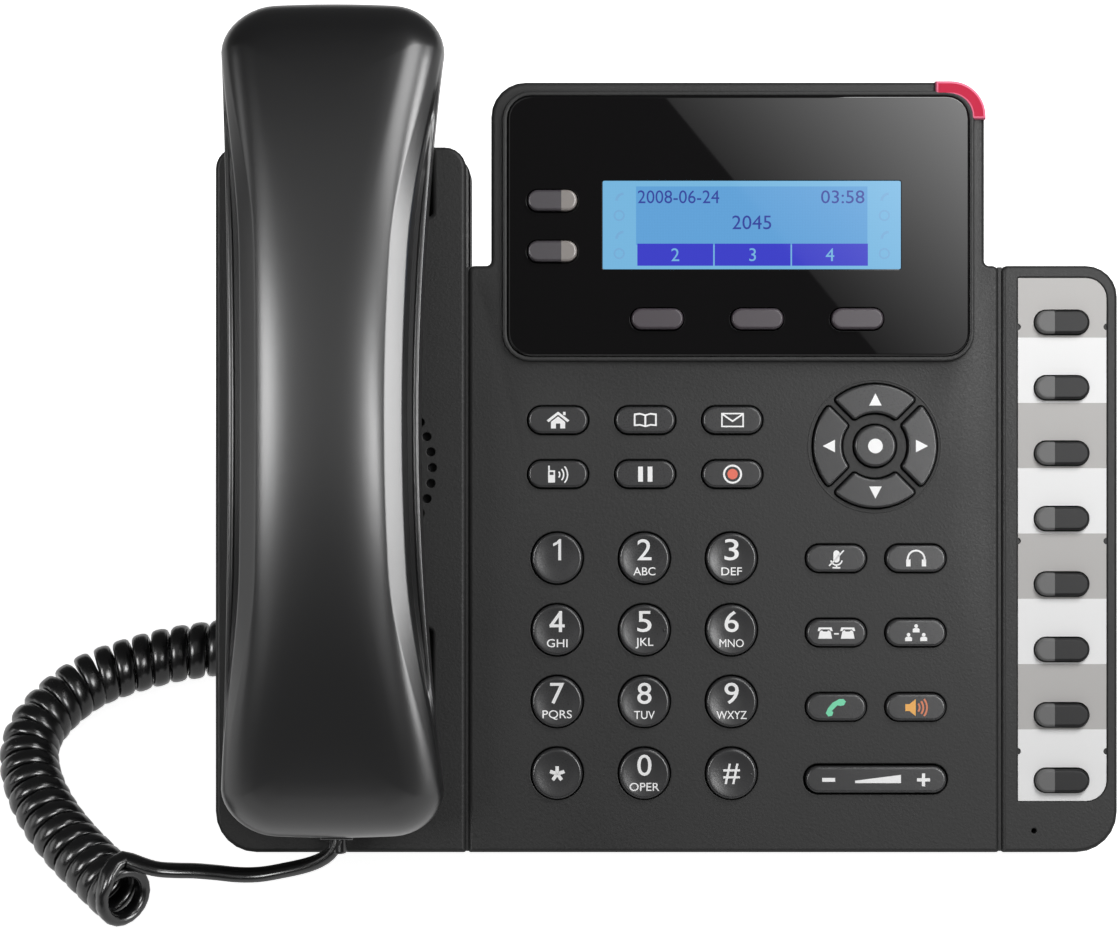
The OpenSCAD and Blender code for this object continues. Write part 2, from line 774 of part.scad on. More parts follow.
module circuit_board() {
    edge = 1.2;
    dome_places = concat(
        [for (k = plain_keys) [k[1], k[2]]],
        [for (k = nav_names) [nav_x + nav_mid * cos(k[1]), nav_v + nav_mid * sin(k[1])]],
        [for (side = [-1, 1]) [rocker_x + side * rocker_reach, rocker_v]]
    );
    color("#2f6b45") face() {
        translate([0, 0, board_w0]) linear_extrude(board_t) difference() {
            union() {
                plate(column_right + 4, wall + edge, half_w - wall - edge, wing_h - wall - edge, 2, 8, 5, 2);
                plate(head_left + wall + edge, wing_h / 2, head_right - wall - edge, head_h - wall - edge,
                      2, 2, 5, 5);
            }
            for (p = main_posts) translate([p[0], p[1]]) circle(screw_r + 0.2);
        }
        for (j = jacks) at(j[0], jack_v) jack(j[1], j[2], j[3]);
        at(inlet_x, jack_v) power_inlet();
    }
    color("silver") face() for (d = dome_places)
        at(d[0], d[1], board_top) cylinder(h = dome_h, r = dome_r, $fn = 24);
}

module loudspeaker() {
    rim = grille_r + 1.6;
    color("#2b2b2e") face() at(column_x, grille_v, face_in) mirror([0, 0, 1]) rotate_extrude() polygon([
        [0, 5], [7, 4], [rim - 3, 1.2], [rim - 3, 0], [rim, 0], [rim, 1.5],
        [rim - 2, 2.5], [11, 7.2], [11, 12], [0, 12]
    ]);
}

module hook_switch() {
    top = cap_low - loose;
    low = cradle_floor - well_wall - hook_travel - flange_gap - hook_flange;
    color("#3c3c3e") face() at(column_x, hook_v) {
        translate([-hook_w / 2, -hook_l / 2, low]) cube([hook_w, hook_l, top - low]);
        translate([-hook_w / 2 - hook_rim, -hook_l / 2 - hook_rim, low])
            cube([hook_w + 2 * hook_rim, hook_l + 2 * hook_rim, hook_flange]);
    }
}

// ---------- keys ----------

function key_base(k) = len([for (h = head_keys) if (h[0] == k[0]) h]) > 0 ? window_top : case_d;

module key(k) {
    top = key_base(k) + key_proud;
    flange_top = face_in - flange_gap;
    small = min(k[3], k[4]);
    color("#363638") face() at(k[1], k[2]) {
        translate([0, 0, flange_top - 0.01]) linear_extrude(top - flange_top + 0.01) pill(k[3], k[4]);
        translate([0, 0, flange_top - flange_t]) linear_extrude(flange_t)
            pill(k[3] + 2 * flange_w, k[4] + 2 * flange_w);
        translate([0, 0, key_low])
            cylinder(h = flange_top - flange_t - key_low + 0.01, r = min(plunger_r, small / 2));
    }
}

module nav_key(k) {
    top = case_d + key_proud;
    flange_top = face_in - flange_gap;
    color("#363638") face() at(nav_x, nav_v) {
        translate([0, 0, flange_top - 0.01]) linear_extrude(top - flange_top + 0.01) nav_segment(k[1]);
        translate([0, 0, flange_top - flange_t]) linear_extrude(flange_t) nav_segment(k[1], nav_flange);
        rotate(k[1]) translate([nav_mid, 0, key_low])
            cylinder(h = flange_top - flange_t - key_low + 0.01, r = plunger_r);
    }
}

module volume_rocker() {
    top = case_d + key_proud;
    color("#363638") face() at(rocker_x, rocker_v) {
        translate([0, 0, rocker_low]) linear_extrude(top - rocker_low) pill(rocker_w, rocker_h);
        translate([0, 0, pivot_w]) rotate([90, 0, 0])
            cylinder(h = rocker_h + 2 * (lug_gap + rocker_gap + lug_t) - 0.2, r = pivot_r, center = true);
        for (side = [-1, 1])
            translate([side * rocker_reach, 0, board_top + dome_h + rocker_rise])
                cylinder(h = rocker_low - board_top - dome_h - rocker_rise + 0.01, r = rocker_plunger_r);
    }
}

// ---------- handset ----------

handset_mid = handset_v + handset_l / 2;
top_mid = end_top + arch;                       // highest line of the arch
low_mid = top_mid - grip_t;
waist_in = (handset_w - waist_w) / 2;
flank = 4.6;                                    // width of the sloping flanks at the waist
flank_h = 9;
joint_drop = 10;                                // from the outer arch down to the joint

// radius of an arc that rises by a sagitta over a chord
function arc_r(chord, sagitta) = (chord * chord / 4 + sagitta * sagitta) / (2 * sagitta);
// height of an arch at a place, from its middle height and its rise over the handset
function arch_at(v, middle, rise) =
    middle - arc_r(handset_l, rise) + sqrt(pow(arc_r(handset_l, rise), 2) - pow(v - handset_mid, 2));

module arch_disc(middle, rise, in = 0)
    translate([handset_mid, middle - arc_r(handset_l, rise)])
        circle(arc_r(handset_l, rise) - in, $fn = 240);

module plan_outline(in) {
    waist_r = arc_r(handset_l - 2 * plan_r, waist_in);
    difference() {
        translate([0, handset_mid])
            even_plate(handset_w - 2 * in, handset_l - 2 * in, plan_r - in);
        for (side = [-1, 1])
            translate([side * (waist_w / 2 + waist_r), handset_mid]) circle(waist_r + in, $fn = 240);
    }
}

module side_profile(in) {
    top_c = arch_at(handset_v + end_r, top_mid, arch) - end_r;
    low_rise = low_mid - end_top + end_t;
    low_c = arch_at(handset_v + end_r, low_mid, low_rise) + end_r;
    intersection() {
        difference() {
            arch_disc(top_mid, arch, in);
            arch_disc(low_mid, low_rise, -in);
        }
        union() {
            translate([handset_v + end_r, 0]) square([handset_l - 2 * end_r, 2 * top_mid]);
            for (v = [handset_v + end_r, handset_top - end_r]) for (w = [top_c, low_c])
                translate([v, w]) circle(end_r - in);
            translate([handset_v + in, low_c]) square([handset_l - 2 * in, top_c - low_c]);
        }
    }
}

module cross_profile(in) {
    a = handset_w / 2 - in;
    crest = waist_w / 2 - flank - in / 2;
    top = top_mid - in / 2;
    slope = (a - crest) / (flank + waist_in);
    polygon([[-a, 0], [a, 0], [a, top - flank_h * slope * 1.5], [crest, top], [-crest, top],
             [-a, top - flank_h * slope * 1.5]]);
}

module handset_form(in = 0) {
    intersection() {
        linear_extrude(2 * top_mid) plan_outline(in);
        translate([-handset_w, 0, 0]) rotate([90, 0, 90]) linear_extrude(2 * handset_w) side_profile(in);
        translate([0, 2 * handset_l, 0]) rotate([90, 0, 0]) linear_extrude(3 * handset_l) cross_profile(in);
    }
}

// everything below the joint between cover and shell
module below_joint(in = 0)
    translate([-handset_w, 0, 0]) rotate([90, 0, 90]) linear_extrude(2 * handset_w)
        arch_disc(top_mid - joint_drop, arch, in);

module handset_at() face() translate([handset_x, 0, 0]) children();

module handset_cover() {
    color("#1d1d1f") handset_at() difference() {
        handset_form();
        handset_form(handset_wall);
        below_joint(-snug);
    }
}

module caps(in, low) {
    for (v = [mouth_v, ear_v])
        translate([0, v, low]) linear_extrude(low_mid - low)
            even_plate(cap_w - 2 * in, cap_l - 2 * in, cap_r - in);
}

module handset_shell() {
    color("#222224") handset_at() difference() {
        union() {
            intersection() {
                handset_form();
                below_joint();
            }
            intersection() {
                caps(0, cap_low);
                below_joint(handset_wall);
            }
        }
        intersection() {
            handset_form(handset_wall);
            below_joint(-1);
        }
        caps(handset_wall, cap_low + handset_wall);
        // sound holes
        for (x = [-1, 0, 1]) for (v = [mouth_v, ear_v - sound_step, ear_v, ear_v + sound_step])
            translate([x * sound_step, v, 0])
                cylinder(h = cap_low + handset_wall + 1, d = sound_hole, $fn = 16);
        // socket for the cord's plug
        translate([-plug_w / 2 - 0.2, handset_v - 1, lead_w - plug_h / 2 - 0.2])
            cube([plug_w + 0.4, plug_in + 1.2, plug_h + 0.4]);
    }
}

receiver_r = 14;
receiver_h = 5;
magnet_r = 8;
magnet_h = 8;
mic_capsule_r = 5;
mic_capsule_h = 5;

module handset_capsules() {
    color("#808286") handset_at() {
        translate([0, ear_v, cap_low + handset_wall]) {
            cylinder(h = receiver_h, r = receiver_r);
            cylinder(h = magnet_h, r = magnet_r);
        }
        translate([0, mouth_v, cap_low + handset_wall]) cylinder(h = mic_capsule_h, r = mic_capsule_r);
    }
}

// ---------- cord ----------

function unit(a) = a / norm(a);
function along(route, i) = unit(
    route[min(i + 1, len(route) - 1)] - route[max(i - 1, 0)]);
// a direction across the route at each of its points, carried along without twist
function across(route, a, i = 0) =
    i == len(route) ? [] :
    let (d = along(route, i), b = unit(a - (a * d) * d))
    concat([b], across(route, b, i + 1));

// a tube of given diameters at the points of a route
module tube(route, diameters, sides) {
    n = len(route);
    sideways = across(route, [0.3, 1, 0.2]);
    rings = [for (i = [0 : n - 1])
        let (a = sideways[i], b = cross(along(route, i), a))
        [for (k = [0 : sides - 1])
            route[i] + diameters[i] / 2 * (cos(360 * k / sides) * a + sin(360 * k / sides) * b)]];
    polyhedron(
        points = [for (r = rings) for (p = r) p],
        faces = concat(
            [[for (k = [0 : sides - 1]) k]],
            [for (j = [0 : n - 2]) for (k = [0 : sides - 1])
                let (m = (k + 1) % sides)
                [j * sides + k, (j + 1) * sides + k, (j + 1) * sides + m, j * sides + m]],
            [[for (k = [sides - 1 : -1 : 0]) (n - 1) * sides + k]]
        )
    );
}

module plug() translate([-plug_w / 2, -plug_h / 2, 0]) cube([plug_w, plug_h, plug_l]);

module cord_coil() {
    base_x = jacks[0][0];
    color("#1a1a1b") {
        tube(concat(base_route, coil_route),
             concat([for (p = base_route) wire_d], [for (p = coil_route) coil_d]), 12);
        face() translate([base_x, jack_v, base_in + jack_low - plug_l]) plug();
    }
}

module handset_lead() {
    color("#1a1a1b") {
        tube(lead_route, [for (p = lead_route) wire_d], 8);
        face() translate([handset_x, handset_v + plug_in - plug_l, lead_w]) rotate([-90, 0, 0]) plug();
    }
}

// ---------- assembly ----------

front_housing();
rear_housing();
stand();
rubber_feet();
case_screws();
display_window();
lcd_module();
message_lamp();
label_card();
circuit_board();
loudspeaker();
hook_switch();
volume_rocker();
handset_cover();
handset_shell();
handset_capsules();
cord_coil();
handset_lead();
for (k = nav_names) nav_key(k);
for (k = plain_keys) key(k);
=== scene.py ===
"""Looks of a desk telephone that leans on its stand.

The case, the keys and the display are drawn in the face frame, in millimetres: x across,
v up the face and w out of it, with w = 0 on the back plane. FACE turns that into the shared
frame in metres. The cord is drawn in the shared frame in millimetres, which WORLD turns into metres.
"""

import json
import math

import bmesh
import bpy
from mathutils import Matrix, Vector

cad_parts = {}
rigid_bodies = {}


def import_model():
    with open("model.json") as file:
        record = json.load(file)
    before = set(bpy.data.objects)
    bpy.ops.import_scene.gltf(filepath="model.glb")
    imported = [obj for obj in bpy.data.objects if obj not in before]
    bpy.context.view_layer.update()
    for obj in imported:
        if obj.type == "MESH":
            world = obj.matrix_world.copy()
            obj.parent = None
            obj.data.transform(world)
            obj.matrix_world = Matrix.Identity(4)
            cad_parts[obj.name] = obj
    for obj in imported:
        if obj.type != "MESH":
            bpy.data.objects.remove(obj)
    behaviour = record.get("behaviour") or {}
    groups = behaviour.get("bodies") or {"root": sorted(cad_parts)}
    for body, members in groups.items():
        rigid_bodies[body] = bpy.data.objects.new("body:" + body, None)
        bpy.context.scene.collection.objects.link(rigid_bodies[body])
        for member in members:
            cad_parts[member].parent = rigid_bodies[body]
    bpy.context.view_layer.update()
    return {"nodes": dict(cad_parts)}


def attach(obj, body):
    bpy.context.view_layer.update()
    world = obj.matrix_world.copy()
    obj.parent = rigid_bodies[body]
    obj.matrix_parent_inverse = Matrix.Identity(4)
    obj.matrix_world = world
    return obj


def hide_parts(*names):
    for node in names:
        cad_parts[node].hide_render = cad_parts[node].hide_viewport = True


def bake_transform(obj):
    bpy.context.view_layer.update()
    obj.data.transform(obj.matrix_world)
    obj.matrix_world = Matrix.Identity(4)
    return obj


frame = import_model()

MM = 0.001
TILT = math.radians(45)
SEAT = Vector((0, -49.2588, -5)) * MM          # the lower edge of the back plane
FACE = Matrix.Translation(SEAT) @ Matrix.Rotation(TILT, 4, "X") @ Matrix.Scale(MM, 4)
WORLD = Matrix.Scale(MM, 4)

# heights above the back plane
SPLIT = 11
UNDER = 23.8
TOP = 26
PAD_TOP = 27.2
WINDOW_TOP = 27.6
WINDOW_FLOOR = 25.6
CARD_FLOOR = 25.5
FLOOR = 14
KEY_PROUD = 1.2
KEY_LOW = 22.3

# outlines of the case
HALF = 104.5
WALL = 2.2
COLUMN = (-75.25, -46.4, 163.5)                # middle, right edge, top
MAIN = (-45.9, 77)                             # left and right edge
WING = (77.6, 136)                             # left edge, top
HEAD = (-40.6, 73.7, 178.5)                    # left and right edge, top
FOOT_R = 9.5                                   # the two lower corners of the case
SHARP = 0.6                                    # radius of a corner at a seam
HEAD_R = 8
STEP_R = 1.2                                   # where the head meets the top of the face
FACE_R = 1.5


def into_scene(name, data):
    """A new object in the scene that shows some data."""
    obj = bpy.data.objects.new(name, data)
    bpy.context.scene.collection.objects.link(obj)
    return obj


def srgb(red, green, blue):
    """A colour given in 0 to 255, as the linear values that shaders take."""
    def linear(c):
        c /= 255
        return c / 12.92 if c <= 0.04045 else ((c + 0.055) / 1.055) ** 2.4
    return (linear(red), linear(green), linear(blue), 1.0)


# ---------- camera ----------

VIEW = (-24.65, 88.66)                         # the point of the face that the camera looks at
VIEW_DISTANCE = 500
FOCAL = 69.42
SENSOR = 36


def make_camera():
    data = bpy.data.cameras.new("camera")
    data.lens = FOCAL
    data.sensor_width = SENSOR
    camera = into_scene("camera", data)
    camera.location = FACE @ Vector((*VIEW, TOP + VIEW_DISTANCE))
    camera.rotation_euler = (TILT, 0, 0)
    bpy.context.scene.camera = camera


make_camera()


# ---------- outlines ----------

SMALLEST = 0.03                                # no corner's radius shrinks below this


def rounded(corners, steps=6):
    """A closed outline with a radius at each corner, as a function of how far it is grown."""
    def loop(grow=0.0):
        points = []
        for i, (x, v, radius) in enumerate(corners):
            here = Vector((x, v))
            a = (here - Vector(corners[i - 1][:2])).normalized()
            b = (Vector(corners[(i + 1) % len(corners)][:2]) - here).normalized()
            out_a = Vector((a.y, -a.x))
            out_b = Vector((b.y, -b.x))
            corner = here + (out_a + out_b) * (grow / (1 + out_a.dot(out_b)))
            if radius == 0:
                points.append(corner)
                continue
            bend = 1 if a.cross(b) > 0 else -1
            turn = a.angle(b)
            r = max(radius + bend * grow, SMALLEST)
            start = corner - a * r * math.tan(turn / 2)
            centre = start - out_a * bend * r
            for k in range(steps + 1):
                points.append(centre + Matrix.Rotation(bend * turn * k / steps, 2) @ (start - centre))
        return [(p.x, p.y) for p in points]
    return loop


def box_loop(x, v, width, height, radius, steps=6):
    """A rounded box round a middle."""
    a, b = width / 2, height / 2
    return rounded([(x - a, v - b, radius), (x + a, v - b, radius),
                    (x + a, v + b, radius), (x - a, v + b, radius)], steps)


NEARLY_ROUND = 0.98                            # keeps a short straight piece at the ends of a pill


def pill_loop(x, v, width, height):
    return box_loop(x, v, width, height, NEARLY_ROUND * min(width, height) / 2, 9)


def disc_loop(x, v, radius, points=16):
    turns = [2 * math.pi * k / points for k in range(points)]
    return rounded([(x + radius * math.cos(t), v + radius * math.sin(t), 0) for t in turns])


NAV = (48.2, 94.2)                             # middle of the ring of arrow keys
NAV_OUT = 14.3
NAV_IN = 7.7
NAV_RIB = 0.9                                  # half the gap between two arrow keys
NAV_R = 0.7


def nav_loop(turn):
    """One arrow key: a quarter of a ring, between two ribs."""
    spin = Matrix.Rotation(turn - math.pi / 4, 2)

    def on(radius, share):
        edge = math.asin(NAV_RIB / radius)
        angle = edge + share * (math.pi / 2 - 2 * edge)
        return spin @ Vector((radius * math.cos(angle), radius * math.sin(angle)))
    outer = [on(NAV_OUT, k / 12) for k in range(13)]
    inner = [on(NAV_IN, k / 8) for k in range(8, -1, -1)]
    corners = []
    for arc in (outer, inner):
        for k, p in enumerate(arc):
            radius = NAV_R if k in (0, len(arc) - 1) else 0
            corners.append((NAV[0] + p.x, NAV[1] + p.y, radius))
    return rounded(corners, 4)


# ---------- building meshes ----------

def ring(bm, points, w):
    """A closed outline of new vertices at a height."""
    verts = [bm.verts.new((x, v, w)) for x, v in points]
    for i in range(len(verts)):
        bm.edges.new((verts[i - 1], verts[i]))
    return verts


def edges_of(bm, verts):
    """The edges of a closed ring of vertices."""
    return [bm.edges.get((verts[i - 1], verts[i])) for i in range(len(verts))]


def grow_ring(bm, verts, points):
    """Extrudes a ring and puts the new one on a list of places."""
    made = bmesh.ops.extrude_edge_only(bm, edges=edges_of(bm, verts))["geom"]
    fresh = {g for g in made if isinstance(g, bmesh.types.BMVert)}
    verts = [next(e.other_vert(vert) for e in vert.link_edges if e.other_vert(vert) in fresh)
             for vert in verts]
    for vert, place in zip(verts, points):
        vert.co = place
    for g in made:
        if isinstance(g, bmesh.types.BMFace):
            g.smooth = True
    return verts


def sweep(bm, loop, profile):
    """Walls that follow an outline through the (grow, w) steps of a profile."""
    first = last = ring(bm, loop(profile[0][0]), profile[0][1])
    for grow, w in profile[1:]:
        last = grow_ring(bm, last, [(x, v, w) for x, v in loop(grow)])
    return first, last


def fill(bm, *rings):
    """A flat face inside the first ring, with the others as its openings."""
    edges = [e for verts in rings for e in edges_of(bm, verts)]
    made = bmesh.ops.triangle_fill(bm, use_beauty=True, edges=edges)["geom"]
    return [g for g in made if isinstance(g, bmesh.types.BMFace)]


def over(grow, w, radius, lean=-1, steps=4, hold=0.06):
    """A rounded edge from a wall onto the face above it. lean is -1 inwards and 1 outwards."""
    turns = [math.pi / 2 * k / steps for k in range(steps + 1)]
    arc = [(grow + lean * radius * (1 - math.cos(t)), w - radius * (1 - math.sin(t))) for t in turns]
    return [(grow, w - radius - hold)] + arc + [(grow + lean * (radius + hold), w)]


def solid(bm, loop, low, high, radius, low_radius=0.1):
    """A plate with rounded edges."""
    under = [(g, low + high - w) for g, w in reversed(over(0, high, low_radius))]
    close_ends(bm, sweep(bm, loop, under + over(0, high, radius)))


SHARP_ANGLE = math.radians(42)


def mesh_of(name, bm):
    """Turns a bmesh into a mesh and frees it."""
    mesh = bpy.data.meshes.new(name)
    bm.to_mesh(mesh)
    bm.free()
    return mesh


def close_ends(bm, ends, holes=()):
    """Flat faces in the first and the last ring of a sweep, with the ends of other sweeps as openings."""
    for k in (0, 1):
        fill(bm, ends[k], *[h[k] for h in holes])


def finish(name, bm, materials, body, slot, replaces=(), place=FACE, weld=0.0):
    """The object of a mesh that was drawn in millimetres, on its body."""
    if weld:
        bmesh.ops.remove_doubles(bm, verts=bm.verts, dist=weld)
    bmesh.ops.recalc_face_normals(bm, faces=bm.faces)
    bmesh.ops.transform(bm, matrix=place, verts=bm.verts)
    mesh = mesh_of(name, bm)
    mesh.set_sharp_from_angle(angle=SHARP_ANGLE)
    for m in materials:
        mesh.materials.append(m)
    obj = into_scene(name, mesh)
    if body:
        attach(obj, body)
    if replaces:
        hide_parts(*replaces)
    return obj


# ---------- shader groups ----------

def add(tree, kind, **values):
    """A node, with its inputs or properties set by name. A value may be an output of another node."""
    node = tree.nodes.new("ShaderNode" + kind)
    for key, value in values.items():
        name = key.replace("_", " ")
        if isinstance(value, bpy.types.NodeSocket):
            tree.links.new(value, node.inputs[name])
        elif name in node.inputs:
            node.inputs[name].default_value = value
        else:
            setattr(node, key, value)
    return node


def calc(tree, operation, *terms):
    """The result of a maths node; each term is a number or an output of another node."""
    node = tree.nodes.new("ShaderNodeMath")
    node.operation = operation
    for place, term in zip(node.inputs, terms):
        if isinstance(term, bpy.types.NodeSocket):
            tree.links.new(term, place)
        else:
            place.default_value = term
    return node.outputs[0]


def scaled(tree, color, factor):
    """A colour times a number."""
    node = tree.nodes.new("ShaderNodeVectorMath")
    node.operation = "SCALE"
    if isinstance(color, bpy.types.NodeSocket):
        tree.links.new(color, node.inputs[0])
    else:
        node.inputs[0].default_value = color[:3]
    tree.links.new(factor, node.inputs["Scale"])
    return node.outputs[0]


def new_group(name, inputs, outputs):
    """A node group; inputs are (name, kind, default) and outputs are (name, kind)."""
    tree = bpy.data.node_groups.new(name, "ShaderNodeTree")
    for title, kind, default in inputs:
        made = tree.interface.new_socket(name=title, in_out="INPUT", socket_type="NodeSocket" + kind)
        made.default_value = default
    for title, kind in outputs:
        tree.interface.new_socket(name=title, in_out="OUTPUT", socket_type="NodeSocket" + kind)
    return tree, tree.nodes.new("NodeGroupInput").outputs, tree.nodes.new("NodeGroupOutput").inputs


def moulded_grain():
    """Fine spark-eroded grain of moulded plastic, with slow changes of shade."""
    tree, given, wanted = new_group(
        "moulded_grain",
        [("Color", "Color", (0.05, 0.05, 0.05, 1)), ("Roughness", "Float", 0.5),
         ("Grain Scale", "Float", 2500), ("Variation", "Float", 0.15)],
        [("Color", "Color"), ("Roughness", "Float"), ("Height", "Float")])
    where = add(tree, "TexCoord").outputs["Object"]
    grain = add(tree, "TexNoise", Vector=where, Scale=given["Grain Scale"], Detail=2, Roughness=0.6)
    pits_scale = calc(tree, "MULTIPLY", given["Grain Scale"], 0.6)
    pits = add(tree, "TexVoronoi", Vector=where, Scale=pits_scale)
    slow = add(tree, "TexNoise", Vector=where, Scale=18, Detail=3, Roughness=0.55)
    height = calc(tree, "MULTIPLY_ADD", pits.outputs["Distance"], 0.5, grain.outputs["Fac"])
    both = calc(tree, "ADD", grain.outputs["Fac"], slow.outputs["Fac"])
    # 1 + variation * (grain + slow - 1)
    gain = calc(tree, "MULTIPLY_ADD", calc(tree, "SUBTRACT", both, 1.0), given["Variation"], 1.0)
    tree.links.new(scaled(tree, given["Color"], gain), wanted["Color"])
    tree.links.new(calc(tree, "MULTIPLY", given["Roughness"], gain), wanted["Roughness"])
    tree.links.new(height, wanted["Height"])
    return tree


def handling_marks():
    """Faint smears that dull a gloss surface in places."""
    tree, given, wanted = new_group(
        "handling_marks",
        [("Roughness", "Float", 0.1), ("Amount", "Float", 0.05), ("Scale", "Float", 60)],
        [("Roughness", "Float")])
    where = add(tree, "TexCoord").outputs["Object"]
    smear = add(tree, "TexNoise", Vector=where, Scale=given["Scale"], Detail=4, Roughness=0.65,
                Distortion=0.8)
    spread = add(tree, "MapRange", Value=smear.outputs["Fac"], From_Min=0.45, From_Max=0.75)
    total = calc(tree, "MULTIPLY_ADD", spread.outputs["Result"], given["Amount"], given["Roughness"])
    tree.links.new(total, wanted["Roughness"])
    return tree


GRAIN = moulded_grain()
MARKS = handling_marks()


# ---------- materials ----------

def new_material(name, **constants):
    """A material with a Principled BSDF; constants are set on its own sockets."""
    material = bpy.data.materials.new(name)
    material.use_nodes = True
    shader = material.node_tree.nodes["Principled BSDF"]
    for key, value in constants.items():
        shader.inputs[key.replace("_", " ")].default_value = value
    return material, material.node_tree, shader


def use_group(tree, group, **values):
    node = tree.nodes.new("ShaderNodeGroup")
    node.node_tree = group
    for key, value in values.items():
        node.inputs[key.replace("_", " ")].default_value = value
    return node


def plastic(name, color, roughness, scale, variation, depth, **constants):
    """Moulded plastic with a grain of a scale, shades that vary and a depth in millimetres."""
    material, tree, shader = new_material(name, **constants)
    grain = use_group(tree, GRAIN, Color=color, Roughness=roughness, Grain_Scale=scale,
                      Variation=variation)
    bump = add(tree, "Bump", Strength=0.6, Distance=depth * MM, Height=grain.outputs["Height"])
    tree.links.new(bump.outputs["Normal"], shader.inputs["Normal"])
    tree.links.new(grain.outputs["Color"], shader.inputs["Base Color"])
    tree.links.new(grain.outputs["Roughness"], shader.inputs["Roughness"])
    return material


def gloss(name, color, roughness, marks):
    """A smooth gloss surface with faint handling marks."""
    material, tree, shader = new_material(name, Base_Color=color)
    smear = use_group(tree, MARKS, Roughness=roughness, Amount=marks)
    tree.links.new(smear.outputs["Roughness"], shader.inputs["Roughness"])
    return material


def face_place(tree):
    """Object coordinates turned into the face frame, in metres: X across and Y up the face."""
    where = add(tree, "TexCoord").outputs["Object"]
    turn = add(tree, "Mapping", vector_type="TEXTURE", Vector=where, Location=SEAT, Rotation=(TILT, 0, 0))
    return add(tree, "SeparateXYZ", Vector=turn.outputs[0]).outputs


DOT_PITCH = 0.36
DOT_GAP = 0.12                                 # half the line between two dots, as a share of the pitch


def dot_cells(tree):
    """1 inside the square dots of the display, and 0 on the lines between them."""
    place = face_place(tree)
    lines = []
    for axis in ("X", "Y"):
        wave = calc(tree, "PINGPONG", place[axis], DOT_PITCH * MM / 2)
        lines.append(calc(tree, "GREATER_THAN", wave, DOT_GAP * DOT_PITCH * MM))
    return calc(tree, "MULTIPLY", *lines)


def glow(name, color, grid):
    """A lit part of the display; grid is how much darker the lines between its dots are."""
    material, tree, shader = new_material(
        name, Emission_Strength=1.0, Specular_IOR_Level=0.5, Roughness=0.05,
        Base_Color=(0.01, 0.012, 0.02, 1))
    dim = add(tree, "MapRange", Value=dot_cells(tree), To_Min=1 - grid)
    tree.links.new(scaled(tree, color, dim.outputs["Result"]), shader.inputs["Emission Color"])
    return material


ROW = 15.12                                    # height of one row of the card
ROW_START = 28.6                               # top of the lowest row
ROW_LEAST = -0.98 * ROW                        # what lies lower belongs to the lowest row


MIX_A, MIX_B, MIX_RESULT = 6, 7, 2             # the colour sockets of a mix node
PAPER_ROUGHNESS = 0.6


def card_rows(name, light, dark):
    """Paper with rows of two shades, and a faint fibre."""
    material, tree, shader = new_material(name, Roughness=PAPER_ROUGHNESS)
    row = calc(tree, "SUBTRACT", face_place(tree)["Y"], ROW_START * MM)
    row = calc(tree, "MAXIMUM", row, ROW_LEAST * MM)
    turn = calc(tree, "FLOORED_MODULO", row, 2 * ROW * MM)
    shade = add(tree, "Mix", data_type="RGBA", Factor=calc(tree, "GREATER_THAN", turn, ROW * MM))
    shade.inputs[MIX_A].default_value = dark
    shade.inputs[MIX_B].default_value = light
    grain = use_group(tree, GRAIN, Roughness=PAPER_ROUGHNESS, Grain_Scale=4000, Variation=0.02)
    tree.links.new(shade.outputs[MIX_RESULT], grain.inputs["Color"])
    tree.links.new(grain.outputs["Color"], shader.inputs["Base Color"])
    return material


def printed(name, *color):
    """The ink of a print."""
    return plastic(name + "_print", srgb(*color), 0.5, 3000, 0.04, 0.002)


# name, colour, roughness, scale of the grain, variation of the shade, depth of the grain
HOUSING = plastic("charcoal_housing", srgb(44, 44, 44), 0.46, 2100, 0.5, 0.05, Specular_IOR_Level=0.15)
REAR = plastic("charcoal_rear", srgb(52, 52, 53), 0.58, 1600, 0.25, 0.03)
STAND = plastic("charcoal_stand", srgb(48, 48, 49), 0.58, 1600, 0.25, 0.03)
KEYCAP = plastic("charcoal_keycap", srgb(54, 54, 55), 0.28, 3000, 0.12, 0.012, Specular_IOR_Level=0.3)
SOFTCAP = plastic("warm_grey_keycap", srgb(70, 63, 69), 0.36, 3000, 0.12, 0.01, Specular_IOR_Level=0.25)
LENS_CAP = plastic("dark_lens_keycap", srgb(32, 32, 33), 0.4, 3000, 0.1, 0.01, Specular_IOR_Level=0.12)
HEAD_CAP = plastic("warm_lens_keycap", srgb(68, 64, 69), 0.36, 3000, 0.1, 0.01, Specular_IOR_Level=0.3)
LENS = plastic("light_pipe", srgb(104, 104, 104), 0.4, 3000, 0.1, 0.008, Specular_IOR_Level=0.15)
HEAD_LENS = plastic("warm_light_pipe", srgb(140, 134, 130), 0.3, 3000, 0.1, 0.008)
STEEL = plastic("zinc_screw", srgb(190, 190, 192), 0.35, 2500, 0.1, 0.004, Metallic=1.0)
BOARD = plastic("green_board", srgb(28, 74, 48), 0.5, 900, 0.2, 0.01)
SPEAKER = plastic("dark_speaker", srgb(38, 38, 40), 0.6, 1800, 0.2, 0.02)
PLUG_PLASTIC = plastic("smoked_plug", srgb(34, 34, 36), 0.2, 3000, 0.06, 0.003)
RUBBER = plastic("black_rubber", srgb(28, 28, 29), 0.8, 900, 0.3, 0.04)
COVER = plastic("satin_black_cover", srgb(20, 20, 21), 0.3, 5200, 0.1, 0.006)
SHELL = plastic("satin_black_shell", srgb(30, 30, 31), 0.34, 5200, 0.1, 0.006)
CORD = gloss("black_cord", srgb(20, 20, 21), 0.24, 0.1)
WINDOW = gloss("gloss_black_window", srgb(13, 12, 13), 0.02, 0.01)
PRINT = printed("white", 254, 254, 254)
GREEN = printed("green", 98, 224, 172)
AMBER = printed("amber", 248, 172, 40)
RUST = printed("rust", 222, 112, 52)
ORANGE = printed("orange", 238, 88, 48)
